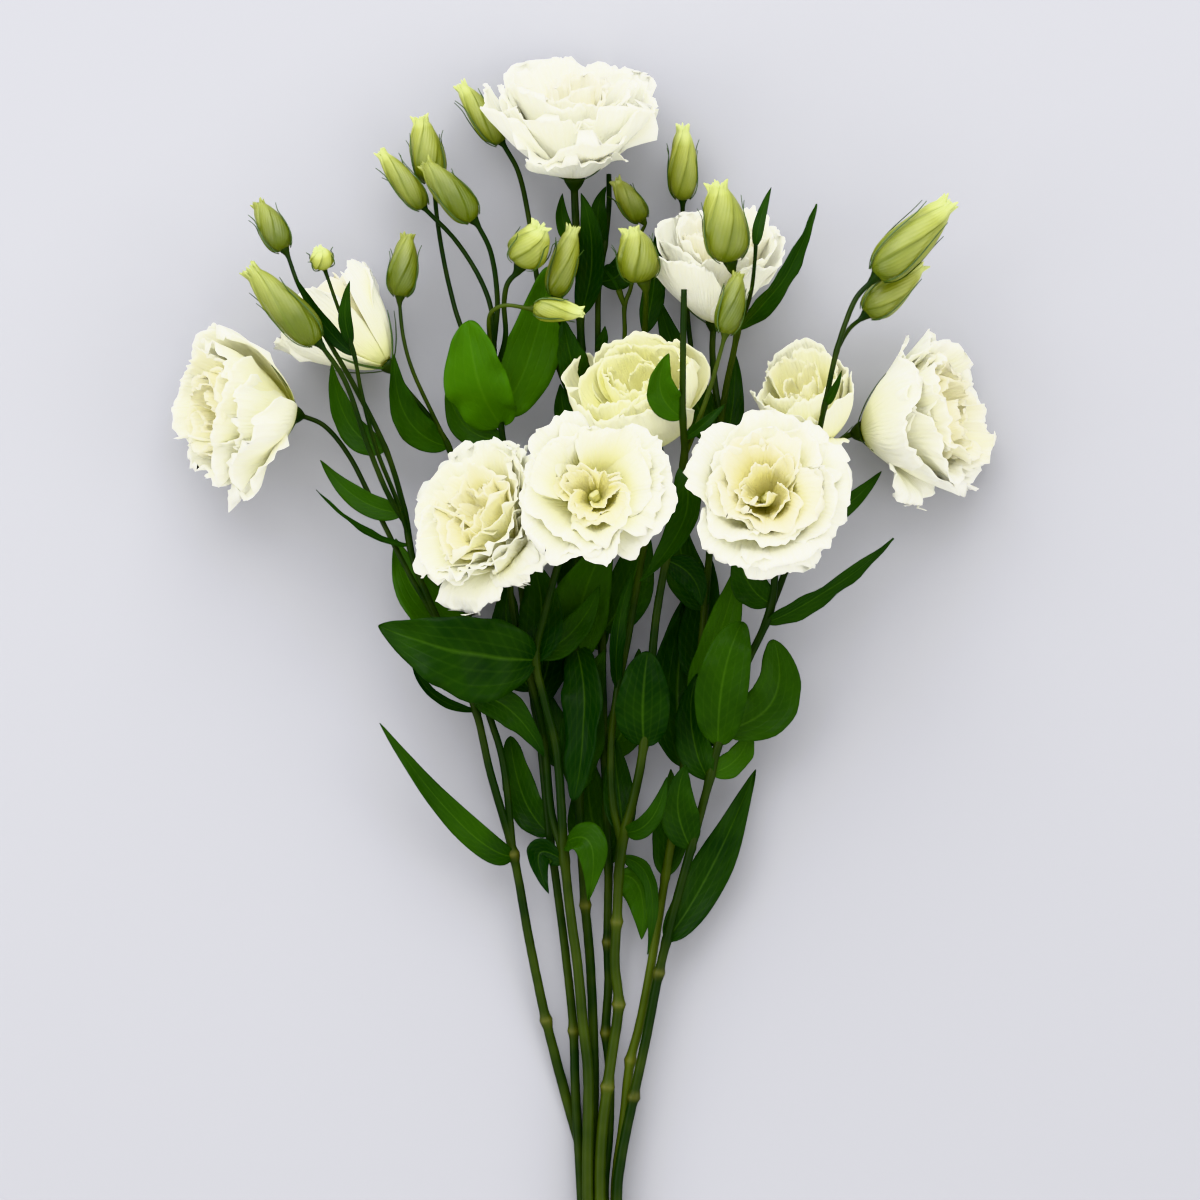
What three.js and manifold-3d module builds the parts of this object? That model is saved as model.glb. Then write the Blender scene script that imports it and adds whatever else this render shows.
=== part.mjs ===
// A bunch of cut lisianthus lying on a flat surface: eight leafy stems, ten double blooms, eighteen buds.
// Millimetres. +Z is up from the surface, +Y runs from the cut ends to the top bloom, +X is to the right
// when the bunch is looked at from above. Each leafy stem, bloom and bud is one closed body of its own.
import * as THREE from 'three';
import Module from 'manifold-3d';

const wasm = await Module();
wasm.setup();
const { Manifold, Mesh } = wasm;

// ---------------------------------------------------------------------------------------------
// Sizes. A share is a part of the radius, width or length named beside it.
const LEAF_THICK = 0.7;
const PETAL_THICK = 0.7;
const SEPAL_THICK = 1;
const SEAT_GAP = 0.3; // between a calyx and the flower it carries
const SLIVERS = 0.15; // detail finer than this is dropped where pieces are joined

const SIDES = 5; // of a stem's section
const PHASE = 0.75; // turns the section, in steps of one side, so that a flat side faces down
const BEND = 45; // degrees in two neighbouring turns of a path, above which it gets a point between them
const JOINT_SWELL = 1.42; // radius of a swollen joint, a share of the stem's
const JOINT_HALF = 2.5; // half the length of the swelling

const NECK = 0.6; // radius of the calyx at its root, a share of its cup's
const BLOOM_CUP = 0.13; // radius of a bloom's calyx cup, a share of the bloom's
const BLOOM_SEPAL = [18, 0.15]; // length of a bloom's sepals: a fixed part, and a share of its radius
// Along a bloom's sepal: out and up, shares of its length, and width.
const BLOOM_SPINE = [[0.4, 0.14, 2.4], [0.88, 0.44, 0]];
const BUD_CUP = 0.55;
// Along a bud's sepal: clear of the bud's side, up its length, and width.
const BUD_SPINE = [[0.7, 0.26, 2.2], [1.3, 0.64, 0]];
const BUD_SPIN = 20; // degrees turned for each millimetre of radius, so that no two buds show one side

// Leaf outlines: place along the midrib, share of the full width.
const LEAF_WIDE = [[0, 0.2], [0.16, 0.76], [0.38, 1], [0.62, 0.84], [0.84, 0.48], [1, 0.07]];
const LEAF_MEDIUM = [[0, 0.2], [0.22, 0.88], [0.5, 0.96], [0.78, 0.58], [1, 0.08]];
const LEAF_NARROW = [[0, 0.25], [0.26, 1], [0.66, 0.7], [1, 0.1]];
const LEAF_SLIVER = [[0, 0.7], [0.35, 1], [0.7, 0.7], [1, 0]];
const [WIDE_FROM, MEDIUM_FROM, SLIVER_TO] = [21, 11, 7.5]; // widths that part the four outlines
const LEAF_FOLD = 0.22; // how far the edges stand up, a share of the half width
const LEAF_WAVE = 0.03; // how far they wave, a share of the width
const SLIVER_RIB = [0.6, 0.2]; // height of a sliver's ridge: a fixed part, and a share of the half width

// Petals. A profile runs up a petal as (radius, height), shares of the bloom's radius and depth.
const PETAL_COLS = 4;
const WRAP = 0.045; // how far one edge lies over the neighbour and the other under it, a share of the radius
const RUFFLE = 0.03; // how far the rim waves
const RUFFLES = 3; // waves round the bloom
const SHORT_EDGE = 0.13; // how much shorter a petal is at its edges than in its middle
const RIM_TAPER = 0.86; // its width at the rim, a share of the full width
const OUTER = [[0.16, 0.16], [0.6, 0.4], [0.88, 0.74], [1, 0.96]];
const DROOP = 0.24; // how far the rim of a fully open bloom bends back
const MIDDLE = [[0.11, 0.16], [0.52, 0.58], [0.68, 0.94]];
const INNER = [[0.06, 0.16], [0.26, 0.58], [0.36, 1]];
const TUBE = [[0.11, 0], [0.24, 0.1], [0.42, 0.26]];
// Bud rings: radius, height, twist in degrees, how deep the valleys between the ridges are.
const BUD_SHAPE = [[0.42, 0, 0, 0.9], [0.95, 0.26, 14, 0.86], [0.84, 0.62, 40, 0.84], [0.48, 1, 62, 0.6]];
const RIDGES = 5;

const V = (x, y, z) => new THREE.Vector3(x, y, z);
const lerp = (a, b, t) => a + (b - a) * t;
const rad = (degrees) => (degrees * Math.PI) / 180;

// ---------------------------------------------------------------------------------------------
// Layout, in millimetres from the middle of the cut ends, z above the surface.
// Each shoot: name, node, parent shoot, how far up the parent it forks, radius at foot and at tip, path.
const SHOOTS = [
  ['s1', 'stem_1', null, null, 3, 1, [
    [11.5, 0, 2.3], [-4, 70, 2.3], [-16.5, 114, 4], [-27.5, 156.5, 8], [-36, 197.5, 13],
    [-44, 241.5, 19], [-55.5, 282.5, 24], [-63.5, 316.5, 28], [-80, 356, 34], [-94, 390, 38],
    [-99, 417.5, 42], [-107.5, 445.5, 48], [-124.5, 480, 60], [-137.5, 502.5, 68], [-144.5, 516, 70],
    [-150.5, 527.5, 69], [-156, 542.5, 66]]],
  ['s1_right', 'stem_1', 's1', 241.5, 1.9, 1.3, [
    [-49.5, 290, 24], [-58, 318, 24], [-65, 350, 24], [-69, 390, 26], [-72.5, 425, 28],
    [-76.5, 447.5, 32], [-87.5, 464, 36], [-97.5, 476, 38], [-104.5, 486, 37]]],
  ['s1_b8', 'stem_1', 's1_right', 447.5, 1.1, 0.9, [
    [-85, 465, 38], [-94.5, 486, 42], [-99, 502.5, 42], [-101, 520, 40]]],
  ['s1_left', 'stem_1', 's1', 356, 1.4, 1.2, [
    [-95, 381, 36], [-112.5, 415, 34], [-127.5, 444, 30], [-140, 458.5, 26], [-151.5, 463.5, 24]]],
  ['s1_b6', 'stem_1', 's1', 407.5, 1.4, 1.2, [
    [-106, 422.5, 52], [-116, 447, 60], [-127.5, 480, 72], [-138.5, 496.5, 76]]],
  ['s1_b7', 'stem_1', 's1', 402.5, 1.2, 0.9, [
    [-102, 420, 48], [-111.5, 444, 54], [-119, 473, 64], [-123, 494.5, 72], [-130.5, 516, 76],
    [-136.5, 533.5, 78]]],
  ['s2', 'stem_2', null, null, 2.6, 1.2, [
    [-6, 3, 8.8], [-9.6, 70, 8.8], [-12.5, 120.5, 8.8], [-13.5, 151, 9.6], [-17, 186, 12],
    [-21.5, 221.5, 15], [-26, 255, 18], [-30, 295, 20], [-35, 330, 22], [-39, 370, 25], [-44, 410, 28],
    [-49, 450, 31], [-52, 477.5, 35], [-53.5, 495, 40], [-51.5, 520, 46], [-55, 545, 50],
    [-61.5, 558.5, 52]]],
  ['s2_b3', 'stem_2', 's2', 495, 1.3, 1.1, [
    [-54.5, 515, 40], [-60, 531, 38], [-73, 551.5, 36], [-87.5, 566.5, 35]]],
  ['s2_b11', 'stem_2', 's2', 487.5, 1.1, 1, [
    [-55.5, 502.5, 50], [-54.5, 513.5, 62], [-48, 517, 66], [-35.5, 515.5, 67]]],
  ['s2_b2', 'stem_2', 's2', 467.5, 1.3, 1.1, [
    [-70, 507.5, 30], [-76.5, 530, 26], [-81.5, 556, 24], [-84, 578, 25]]],
  ['s2_b9', 'stem_2', 's2', 484, 1.3, 1.3, [
    [-47.5, 502.5, 48], [-48, 519, 58], [-46, 528.5, 62], [-41.5, 533.5, 63]]],
  ['s3', 'stem_3', null, null, 3.2, 1.6, [
    [-3, -2, 14.6], [-6.3, 70, 14.6], [-6, 131.5, 15.4], [-8.5, 153.5, 17], [-11.5, 186, 19.5],
    [-14.5, 207.5, 22], [-18, 240, 27], [-22, 295, 34], [-27.5, 318, 39], [-32.5, 341.5, 44],
    [-27, 365, 54], [-20, 390, 64], [-9, 412, 74], [-2.5, 418.5, 82]]],
  ['s3_left', 'stem_3', 's3', 240, 2, 1.5, [
    [-24.5, 262, 25], [-28, 297.5, 28], [-35, 330, 34], [-43, 360, 39], [-45, 380, 41], [-41, 392, 43],
    [-36.5, 396, 44]]],
  ['s4', 'stem_4', null, null, 2.6, 1.9, [
    [0, 2, 8.8], [-3.7, 70, 8.8], [-3, 131.5, 9.2], [-5, 186, 11.5], [-7.5, 215, 13], [-10, 255, 16],
    [-11.5, 295, 18], [-12, 330, 20], [-12, 370, 22], [-11, 420, 24], [-9, 470, 25], [-10, 513, 26],
    [-11, 545, 26], [-12.5, 566, 27], [-13, 579, 28]]],
  ['s4_b1', 'stem_4', 's4', 460, 1.5, 1.2, [
    [-20, 485, 27], [-27.5, 510, 26], [-33, 540, 26], [-36, 563, 24], [-41.5, 587, 24],
    [-48.5, 600, 23]]],
  ['s4_b10', 'stem_4', 's4', 497.5, 1.2, 1, [
    [-17, 505, 34], [-22, 514, 46], [-23, 520, 50]]],
  ['s5', 'stem_5', null, null, 3.1, 1.5, [
    [3, 0, 14.6], [0, 70, 14.6], [1, 99, 14.8], [3.8, 123, 15.4], [6.5, 142.5, 16.4], [9.5, 165, 18],
    [7.5, 186, 20.5], [8.5, 207.5, 23.5], [11, 246, 30], [17, 270, 36], [21, 290, 40], [24.5, 320, 44],
    [28, 360, 48], [33, 390, 56], [38, 420, 68], [42, 442.5, 80], [41, 460, 88], [41, 490, 94],
    [41.5, 523.5, 95]]],
  ['s5_left', 'stem_5', 's5', 246, 2, 1.5, [
    [6.5, 268, 33], [5.5, 297.5, 36], [9, 325, 38], [14, 350, 40], [21, 390, 38], [28, 425, 33],
    [31, 441, 31], [30, 449, 32]]],
  ['s5_b16', 'stem_5', 's5', 441, 1.3, 1, [
    [49, 459, 84], [55.5, 478, 87], [61.5, 499.5, 88]]],
  ['s6', 'stem_6', null, null, 2.6, 1.3, [
    [6, 2, 8.8], [2.1, 70, 8.8], [4.5, 99, 8.8], [4.9, 131.5, 9.2], [3, 150, 10], [4.3, 175, 11],
    [3.8, 196.5, 12.5], [4.3, 234.5, 15], [3, 270, 17], [1.5, 320, 18], [1, 370, 18], [1, 420, 19],
    [0, 470, 20], [-1, 500, 21], [-0.5, 531, 24], [2.5, 550, 22], [4.5, 570, 19], [4.5, 586, 15]]],
  ['s6_b12', 'stem_6', 's6', 437.5, 1.4, 0.9, [
    [6, 460, 22], [11, 485, 24], [12.5, 505, 28], [12.5, 519, 32], [15.5, 527.5, 32], [18, 545, 28],
    [20.5, 555, 25], [23, 560, 26]]],
  ['s6_stub', 'stem_6', 's6_b12', 518.5, 1.2, 1.4, [
    [11, 522, 33], [9.5, 526.5, 34]]],
  ['s6_b14', 'stem_6', 's6', 425, 1.5, 1.3, [
    [10, 450, 17], [18, 475, 17], [22, 500, 26], [23, 517, 44], [23, 525.5, 54]]],
  ['s7', 'stem_7', null, null, 2.7, 1.4, [
    [12, 1, 8.8], [8, 70, 8.8], [12, 104.5, 9.2], [15.5, 136, 10.6], [20, 153.5, 12], [26.5, 188, 15],
    [33, 229, 19], [40, 270, 24], [46.5, 310, 26], [51.5, 350, 28], [55, 390, 29], [58, 430, 31],
    [61, 460, 34], [63.5, 477.5, 44], [67.5, 497.5, 60], [70, 515, 72], [68.5, 528, 78],
    [65.5, 534, 80]]],
  ['s7_bloom', 'stem_7', 's7', 460, 1.7, 1.5, [
    [58, 480, 26], [57, 497.5, 17], [57.5, 508, 14]]],
  ['s7_b13', 'stem_7', 's7', 450, 1.4, 1.1, [
    [50, 475, 18], [45.5, 505, 9], [43.5, 530, 6.5], [43, 550, 6.5], [42, 563, 10], [42, 571, 15]]],
  ['s7_top', 'stem_7', 's7', 502.5, 1.1, 0.9, [
    [75, 522.5, 74], [77, 539, 76], [77.5, 547, 76]]],
  ['s8', 'stem_8', null, null, 2.8, 1.7, [
    [11, -1, 14.6], [8.8, 70, 14.6], [11, 88, 14.8], [17, 117.5, 15.6], [23.5, 148, 17.4],
    [30, 181.5, 20.5], [37.5, 213, 24.5], [43, 233.5, 27.5], [46, 244.5, 29], [56, 282.5, 36],
    [60.5, 300.5, 40], [72.5, 335, 44], [85, 363.5, 50], [87.5, 385, 58], [85.5, 409, 68],
    [83, 417, 74]]],
  ['s8_right', 'stem_8', 's8', 363.5, 1.7, 1.5, [
    [93.5, 385, 42], [102.5, 410, 34], [113, 435.5, 25], [118, 446.5, 20], [124, 452.5, 16],
    [129, 454.5, 13.9]]],
  ['s8_b17', 'stem_8', 's8_right', 400, 1.5, 1.3, [
    [102.5, 417.5, 46], [106, 435, 60], [110, 457.5, 72], [114, 477.5, 77], [117, 491.5, 78],
    [122.5, 509, 76], [128, 521, 73], [135.5, 529, 71]]],
  ['s8_b18', 'stem_8', 's8_b17', 494, 1.2, 1.1, [
    [122, 502, 70], [126, 507, 62], [131, 511, 57]]],
  ['s8_b9', 'stem_8', 's8_right', 387.5, 1.5, 1.4, [
    [100, 410, 30], [107, 432.5, 20], [110.5, 446, 18]]],
];
// Blooms: name, shoot that carries it, direction it faces, radius, depth, how far open, turn about its axis.
const BLOOMS = [
  ['bloom_1', 's4', [0, 0.9, 0.44], 44, 54, 0.9, 20],
  ['bloom_2', 's7_bloom', [0.1, 0.86, 0.5], 34, 56, 0.5, 70],
  ['bloom_3', 's1_right', [-0.68, 0.7, -0.16], 33, 56, 0.4, 10],
  ['bloom_4', 's1_left', [-0.84, 0.06, 0.5], 38, 55, 0.4, 45],
  ['bloom_5', 's3_left', [-0.6, 0.42, 0.66], 41, 50, 0.8, 0],
  ['bloom_6', 's3', [-0.02, 0.22, 1], 36, 42, 0.9, 30],
  ['bloom_7', 's5_left', [-0.26, 0.7, 0.66], 33, 46, 0, 80],
  ['bloom_8', 's8', [-0.04, 0.24, 1], 39, 42, 0.9, 55],
  ['bloom_9', 's8_b9', [-0.2, 0.76, 0.62], 30, 46, 0.3, 15],
  ['bloom_10', 's8_right', [0.88, 0.2, 0.42], 41, 60, 0.6, 35],
];
// Buds: name, shoot, tip, radius.
const BUDS = [
  ['bud_1', 's4_b1', [-71, 631, 22], 7],
  ['bud_2', 's2_b2', [-91, 614, 28], 9],
  ['bud_3', 's2_b3', [-111, 596, 33], 6.5],
  ['bud_4', 's2', [-88, 589, 54], 8.5],
  ['bud_5', 's1', [-171, 568.5, 62], 7.5],
  ['bud_6', 's1_b6', [-174.5, 534.5, 78], 9.5],
  ['bud_7', 's1_b7', [-139.5, 544, 87], 6],
  ['bud_8', 's1_b8', [-97, 554, 37], 7.75],
  ['bud_9', 's2_b9', [-29.5, 556.5, 74], 10.5],
  ['bud_10', 's4_b10', [-13.5, 557, 52], 7.5],
  ['bud_11', 's2_b11', [-8.5, 513.5, 70], 6.25],
  ['bud_12', 's6_b12', [7.5, 582, 30], 6.5],
  ['bud_13', 's7_b13', [42, 610, 24], 7.5],
  ['bud_14', 's6_b14', [15, 556, 60], 10.5],
  ['bud_15', 's7', [58, 576, 88], 11.5],
  ['bud_16', 's5_b16', [68.5, 532, 86], 7],
  ['bud_17', 's8_b17', [174, 568.5, 72], 11],
  ['bud_18', 's8_b18', [161, 539, 54], 9],
];
// Leaves: shoot, how far up it, where the midrib bends towards, tip, width, roll about the midrib.
const LEAVES = [
  ['s1', 240, [-76, 234, 40], [-110.5, 308, 38], 17, 8],
  ['s1', 314, [-93, 317, 34], [-96, 348.5, 38], 6, 30],
  ['s1', 322, [-43, 322, 40], [-28, 291, 33], 18, 12],
  ['s1', 397.5, [-117.5, 397.5, 46], [-142.5, 425.5, 46], 6, 60],
  ['s1', 414, [-122, 414, 40], [-141, 440.5, 36], 12, 0],
  ['s1', 445.5, [-131, 450, 40], [-135, 489, 45], 15, -12],
  ['s1_b7', 492, [-138.5, 504, 64], [-151, 530, 80], 7.5, 0],
  ['s1_b7', 497, [-129.5, 511, 80], [-124, 528.5, 84], 7, 0],
  ['s1_right', 350, [-97.5, 365, 30], [-103.5, 401, 22], 24, 12],
  ['s1_right', 342.5, [-80, 370, 2], [-82, 400, 12], 16, -12],
  ['s1_right', 447.5, [-104, 452.5, 42], [-103, 493, 56], 17, 12],
  ['s2', 251, [-42.5, 265, 10], [-45.5, 301, 19], 19, -12],
  ['s2', 324, [-51, 344, 24], [-46, 380, 20], 25, -24],
  ['s2', 316, [-20.9, 347.8, -2], [-26, 377.5, 21], 21, 24],
  ['s2', 394, [-63.3, 411.9, 12], [-61, 442.5, 18], 21, -12],
  ['s2', 386, [-32, 410, 6], [-30, 445, 6], 16, 24],
  ['s2', 450, [-74, 452.5, 20], [-77.5, 479, 22], 16, 0],
  ['s2', 458, [-69, 464, 46], [-63, 509.5, 46], 33, -12],
  ['s2', 464, [-35, 482.5, 50], [-24.5, 538.5, 31], 30, 24],
  ['s3', 238, [-40, 252.5, 14], [-26, 222, 34], 15, 0],
  ['s3', 247, [3, 261, 52], [-6, 218.5, 34], 19, 0],
  ['s3', 340, [-69, 340, 80], [-111, 357, 58], 45, -12],
  ['s3', 339, [-25.2, 362.9, 46], [-34, 391, 25], 24, -12],
  ['s3', 342, [-10, 350, 24], [0, 377.5, 50], 16, 0],
  ['s4', 272.5, [-14, 310, 30], [2, 345, 22], 24, 24],
  ['s4', 340, [-14, 372, 32], [7, 404, 39], 30, 0],
  ['s4', 346, [-3, 322, 44], [-13, 269, 34], 22, 24],
  ['s4', 284, [-26, 302, -6], [-30, 328, 12], 22, -12],
  ['s4', 400, [-27.2, 425, 12], [-22, 455, 16], 18, 0],
  ['s4', 469, [-15, 489, 56], [-19, 511, 44], 18, 24],
  ['s4', 450, [-20, 460, 30], [-20, 479, 32], 12, 0],
  ['s4', 514, [2, 545, 44], [-9.5, 574.5, 46], 15, -12],
  ['s4', 547.5, [-22, 559.7, 16], [-19, 576, 20], 8, 0],
  ['s5', 253, [28, 252.4, 52], [33.5, 281, 49], 11, 0],
  ['s5', 240, [33.8, 237.9, 26], [24, 191, 30], 10, 30],
  ['s5', 231, [34, 240, 16], [20, 207, 20], 18, 0],
  ['s5', 252, [9, 272, 14], [7, 302, 21], 17, 0],
  ['s5', 297.5, [20, 320, 60], [24, 344, 58], 28, 0],
  ['s5_left', 325, [5, 355, 54], [17.5, 386.5, 46], 9, 30],
  ['s5', 390, [50, 385, 44], [51, 367, 46], 15, 0],
  ['s5', 437, [52, 410, 88], [19.5, 379, 76], 16, 24],
  ['s5', 460, [22.5, 471.6, 96], [34, 491.5, 100], 17, 12],
  ['s5', 450, [53, 457.5, 92], [62, 467, 84], 6, 0],
  ['s6', 235, [-8, 257, -8], [-6, 294, 14], 26, 0],
  ['s6', 290, [21.8, 314.9, -4], [20, 345, 10], 24, 24],
  ['s6', 354, [20, 375, 36], [22.5, 410, 14], 25, 0],
  ['s6', 345, [-15, 375, -2], [-15, 410, 8], 22, -12],
  ['s6', 531, [16, 532.2, 12], [11, 551, 18], 16, 0],
  ['s6', 550, [-5, 565, 34], [3, 579, 26], 9, 12],
  ['s6', 495, [2, 501, 24], [2.5, 508.5, 26], 6, 0],
  ['s6_stub', 526, [5, 536, 37], [-3.5, 541.5, 38], 1.6, 0],
  ['s6_b14', 505, [29, 530, 24], [28.5, 556.5, 22], 12, 12],
  ['s7', 230, [37, 252, 12], [36, 284, 12], 18, 0],
  ['s7', 286, [34, 325, 14], [46, 377, 11], 31, 12],
  ['s7', 295, [72.3, 316.1, 22], [67.5, 342.5, 16], 22, -12],
  ['s7', 316.5, [62.1, 352.8, 32], [70, 388.5, 38], 20, 12],
  ['s7', 328, [50, 352, 10], [57, 390, 12], 24, 0],
  ['s7', 365, [38, 385, 22], [40, 420, 16], 20, -12],
  ['s7', 435, [69, 460, 22], [68.5, 495, 18], 15, 0],
  ['s7', 450, [45, 470, 18], [28.5, 525, 22], 20, 0],
  ['s7', 505, [95, 525, 106], [107.5, 567, 75], 13, 0],
  ['s7_top', 546, [78.5, 559, 76], [85.5, 576, 62], 6, 0],
  ['s8', 197.5, [69, 225, 14], [79, 283.5, 16], 21, 0],
  ['s8', 244.5, [33.5, 266.6, 44], [43.5, 287, 46], 20, 12],
  ['s8', 282.5, [74, 287.5, 28], [76, 306, 35], 14, 12],
  ['s8', 279, [40.5, 304.6, 34], [49, 333, 35], 20, -24],
  ['s8', 297, [58, 335, 78], [71, 359, 60], 27, 0],
  ['s8', 304, [100, 312.5, 32], [87.5, 350, 42], 28, 12],
  ['s8', 359, [110, 368, 60], [147.5, 401, 46], 14, 12],
  ['s8', 368, [70, 376, 50], [70, 398, 54], 19, -12],
  ['s8_right', 404, [125, 414, 30], [142, 435, 32], 11, 0],
  ['s8_b17', 482, [114, 465, 82], [120, 484, 84], 4, 0],
];
// Swollen joints on the lower, bare part of the stems: shoot, distance up.
const JOINTS = [
  ['s1', 156], ['s1', 241], ['s2', 151], ['s4', 215], ['s5', 123], ['s5', 165], ['s5', 207],
  ['s6', 150], ['s6', 196], ['s7', 136], ['s8', 118], ['s8', 181],
];
// Moves the drawing so that the origin is under the middle of the bunch.
const LIE = [9.6, -320.2, 0];

// ---------------------------------------------------------------------------------------------
// Closed solids from points.
function solid(verts, tris) {
  const flat = new Float32Array(verts.length * 3);
  verts.forEach((p, i) => flat.set([p.x, p.y, p.z], i * 3));
  const made = new Manifold(new Mesh({ numProp: 3, vertProperties: flat, triVerts: new Uint32Array(tris) }));
  if (made.volume() > 0) return made;
  const turned = new Uint32Array(tris.length);
  for (let i = 0; i < tris.length; i += 3) turned.set([tris[i], tris[i + 2], tris[i + 1]], i);
  return new Manifold(new Mesh({ numProp: 3, vertProperties: flat, triVerts: turned }));
}

// A skin over rings of points; a ring of one point is a tip, a wider ring at an end is capped.
function skin(rings) {
  const verts = [];
  const start = rings.map((ring) => verts.push(...ring) - ring.length);
  const tris = [];
  for (let i = 0; i + 1 < rings.length; i++) {
    const [a, b, s, t] = [rings[i].length, rings[i + 1].length, start[i], start[i + 1]];
    const n = Math.max(a, b);
    for (let k = 0; k < n; k++) {
      const j = (k + 1) % n;
      if (a > 1 && b > 1) tris.push(s + k, s + j, t + j, s + k, t + j, t + k);
      else if (b === 1) tris.push(s + k, s + j, t);
      else tris.push(s, t + j, t + k);
    }
  }
  const first = rings[0].length;
  const last = rings.at(-1).length;
  for (let k = 1; k + 1 < first; k++) tris.push(0, k + 1, k);
  for (let k = 1; k + 1 < last; k++) tris.push(start.at(-1), start.at(-1) + k, start.at(-1) + k + 1);
  return solid(verts, tris);
}

// A thin sheet through a grid of points, given its thickness on both sides and closed round its rim.
// Both faces are cut into triangles along the same diagonals, so they never cross.
function blade(grid, thick) {
  const rows = grid.length;
  const cols = grid[0].length;
  const at = (i, j) => grid[Math.min(Math.max(i, 0), rows - 1)][Math.min(Math.max(j, 0), cols - 1)];
  const sheet = (side) => grid.flatMap((row, i) => row.map((p, j) => {
    const along = at(i + 1, j).clone().sub(at(i - 1, j));
    const across = at(i, j + 1).clone().sub(at(i, j - 1));
    return p.clone().addScaledVector(along.cross(across).normalize(), (side * thick) / 2);
  }));
  const verts = [...sheet(1), ...sheet(-1)];
  const under = rows * cols;
  const tris = [];
  for (let i = 0; i + 1 < rows; i++) {
    for (let j = 0; j + 1 < cols; j++) {
      const [a, b, c, d] = [i * cols + j, i * cols + j + 1, (i + 1) * cols + j + 1, (i + 1) * cols + j];
      tris.push(a, b, c, a, c, d, under + a, under + c, under + b, under + a, under + d, under + c);
    }
  }
  const rim = [];
  for (let j = 0; j < cols; j++) rim.push(j);
  for (let i = 1; i < rows; i++) rim.push(i * cols + cols - 1);
  for (let j = cols - 2; j >= 0; j--) rim.push((rows - 1) * cols + j);
  for (let i = rows - 2; i > 0; i--) rim.push(i * cols);
  rim.forEach((p, k) => {
    const q = rim[(k + 1) % rim.length];
    tris.push(p, under + p, under + q, p, under + q, q);
  });
  return solid(verts, tris);
}

// ---------------------------------------------------------------------------------------------
// Shoots: round stems and stalks that taper, with a swelling at each joint.
function stations(points, r0, r1, joints) {
  const curve = new THREE.CatmullRomCurve3(points, false, 'centripetal');
  const last = points.length - 1;
  const turn = (i) => (i < 1 || i >= last ? 0 : points[i].clone().sub(points[i - 1])
    .angleTo(points[i + 1].clone().sub(points[i])));
  const ts = [];
  for (let i = 0; i <= last; i++) {
    ts.push(i);
    if (i < last && turn(i) + turn(i + 1) > rad(BEND)) ts.push(i + 0.5);
  }
  const found = ts.map((t) => ({ p: curve.getPoint(t / last), r: lerp(r0, r1, t / last) }));
  for (const y of joints) {
    const k = found.findIndex((s) => s.p.y > y);
    if (k < 1) continue;
    const [a, b] = [found[k - 1], found[k]];
    const step = (off, swell) => {
      const t = Math.min(Math.max((y + off - a.p.y) / (b.p.y - a.p.y), 0.05), 0.95);
      return { p: a.p.clone().lerp(b.p, t), r: lerp(a.r, b.r, t) * swell };
    };
    found.splice(k, 0, step(-JOINT_HALF, 1), step(0, JOINT_SWELL), step(JOINT_HALF, 1));
  }
  return found;
}

// The skin of a shoot: rings of SIDES points along it. At a shoot that carries a flower the last ring widens
// into a calyx, a small green cup with five thin sepals growing out of its sides.
function shootSkin(found, calyx) {
  const verts = [];
  const tris = [];
  const ring = (c, x, y, r, turn) => {
    for (let k = 0; k < SIDES; k++) {
      const a = (2 * Math.PI * (k + turn)) / SIDES;
      verts.push(c.clone().addScaledVector(x, r * Math.cos(a)).addScaledVector(y, r * Math.sin(a)));
    }
    return verts.length - SIDES;
  };
  const wall = (a, b) => {
    for (let k = 0; k < SIDES; k++) {
      const j = (k + 1) % SIDES;
      tris.push(a + k, a + j, b + j, a + k, b + j, b + k);
    }
  };
  const dir = found.map((s, i) => (found[i + 1] || s).p.clone().sub((found[i - 1] || s).p).normalize());
  if (calyx) dir[dir.length - 1] = calyx.axis;
  let side = V(0, 0, -1).cross(dir[0]).normalize();
  let last = -1;
  found.forEach(({ p, r }, i) => {
    side = side.sub(dir[i].clone().multiplyScalar(side.dot(dir[i]))).normalize();
    const size = calyx && i === found.length - 1 ? NECK * calyx.r : r;
    const next = ring(p, side, dir[i].clone().cross(side), size, PHASE);
    if (last >= 0) wall(last, next);
    last = next;
  });
  for (let k = 1; k + 1 < SIDES; k++) tris.push(0, k + 1, k);
  if (!calyx) {
    for (let k = 1; k + 1 < SIDES; k++) tris.push(last, last + k, last + k + 1);
    return solid(verts, tris);
  }
  const f = { n: calyx.axis, x: side, y: calyx.axis.clone().cross(side) };
  const top = ring(calyx.seat, f.x, f.y, calyx.r, PHASE + 0.5);
  for (let k = 1; k + 1 < SIDES; k++) tris.push(top, top + k, top + k + 1);
  for (let k = 0; k < SIDES; k++) {
    tris.push(last + k, last + ((k + 1) % SIDES), top + k);
    sepal(verts, tris, [top + ((k + SIDES - 1) % SIDES), top + k, last + k], calyx, f, k);
  }
  return solid(verts, tris);
}

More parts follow.
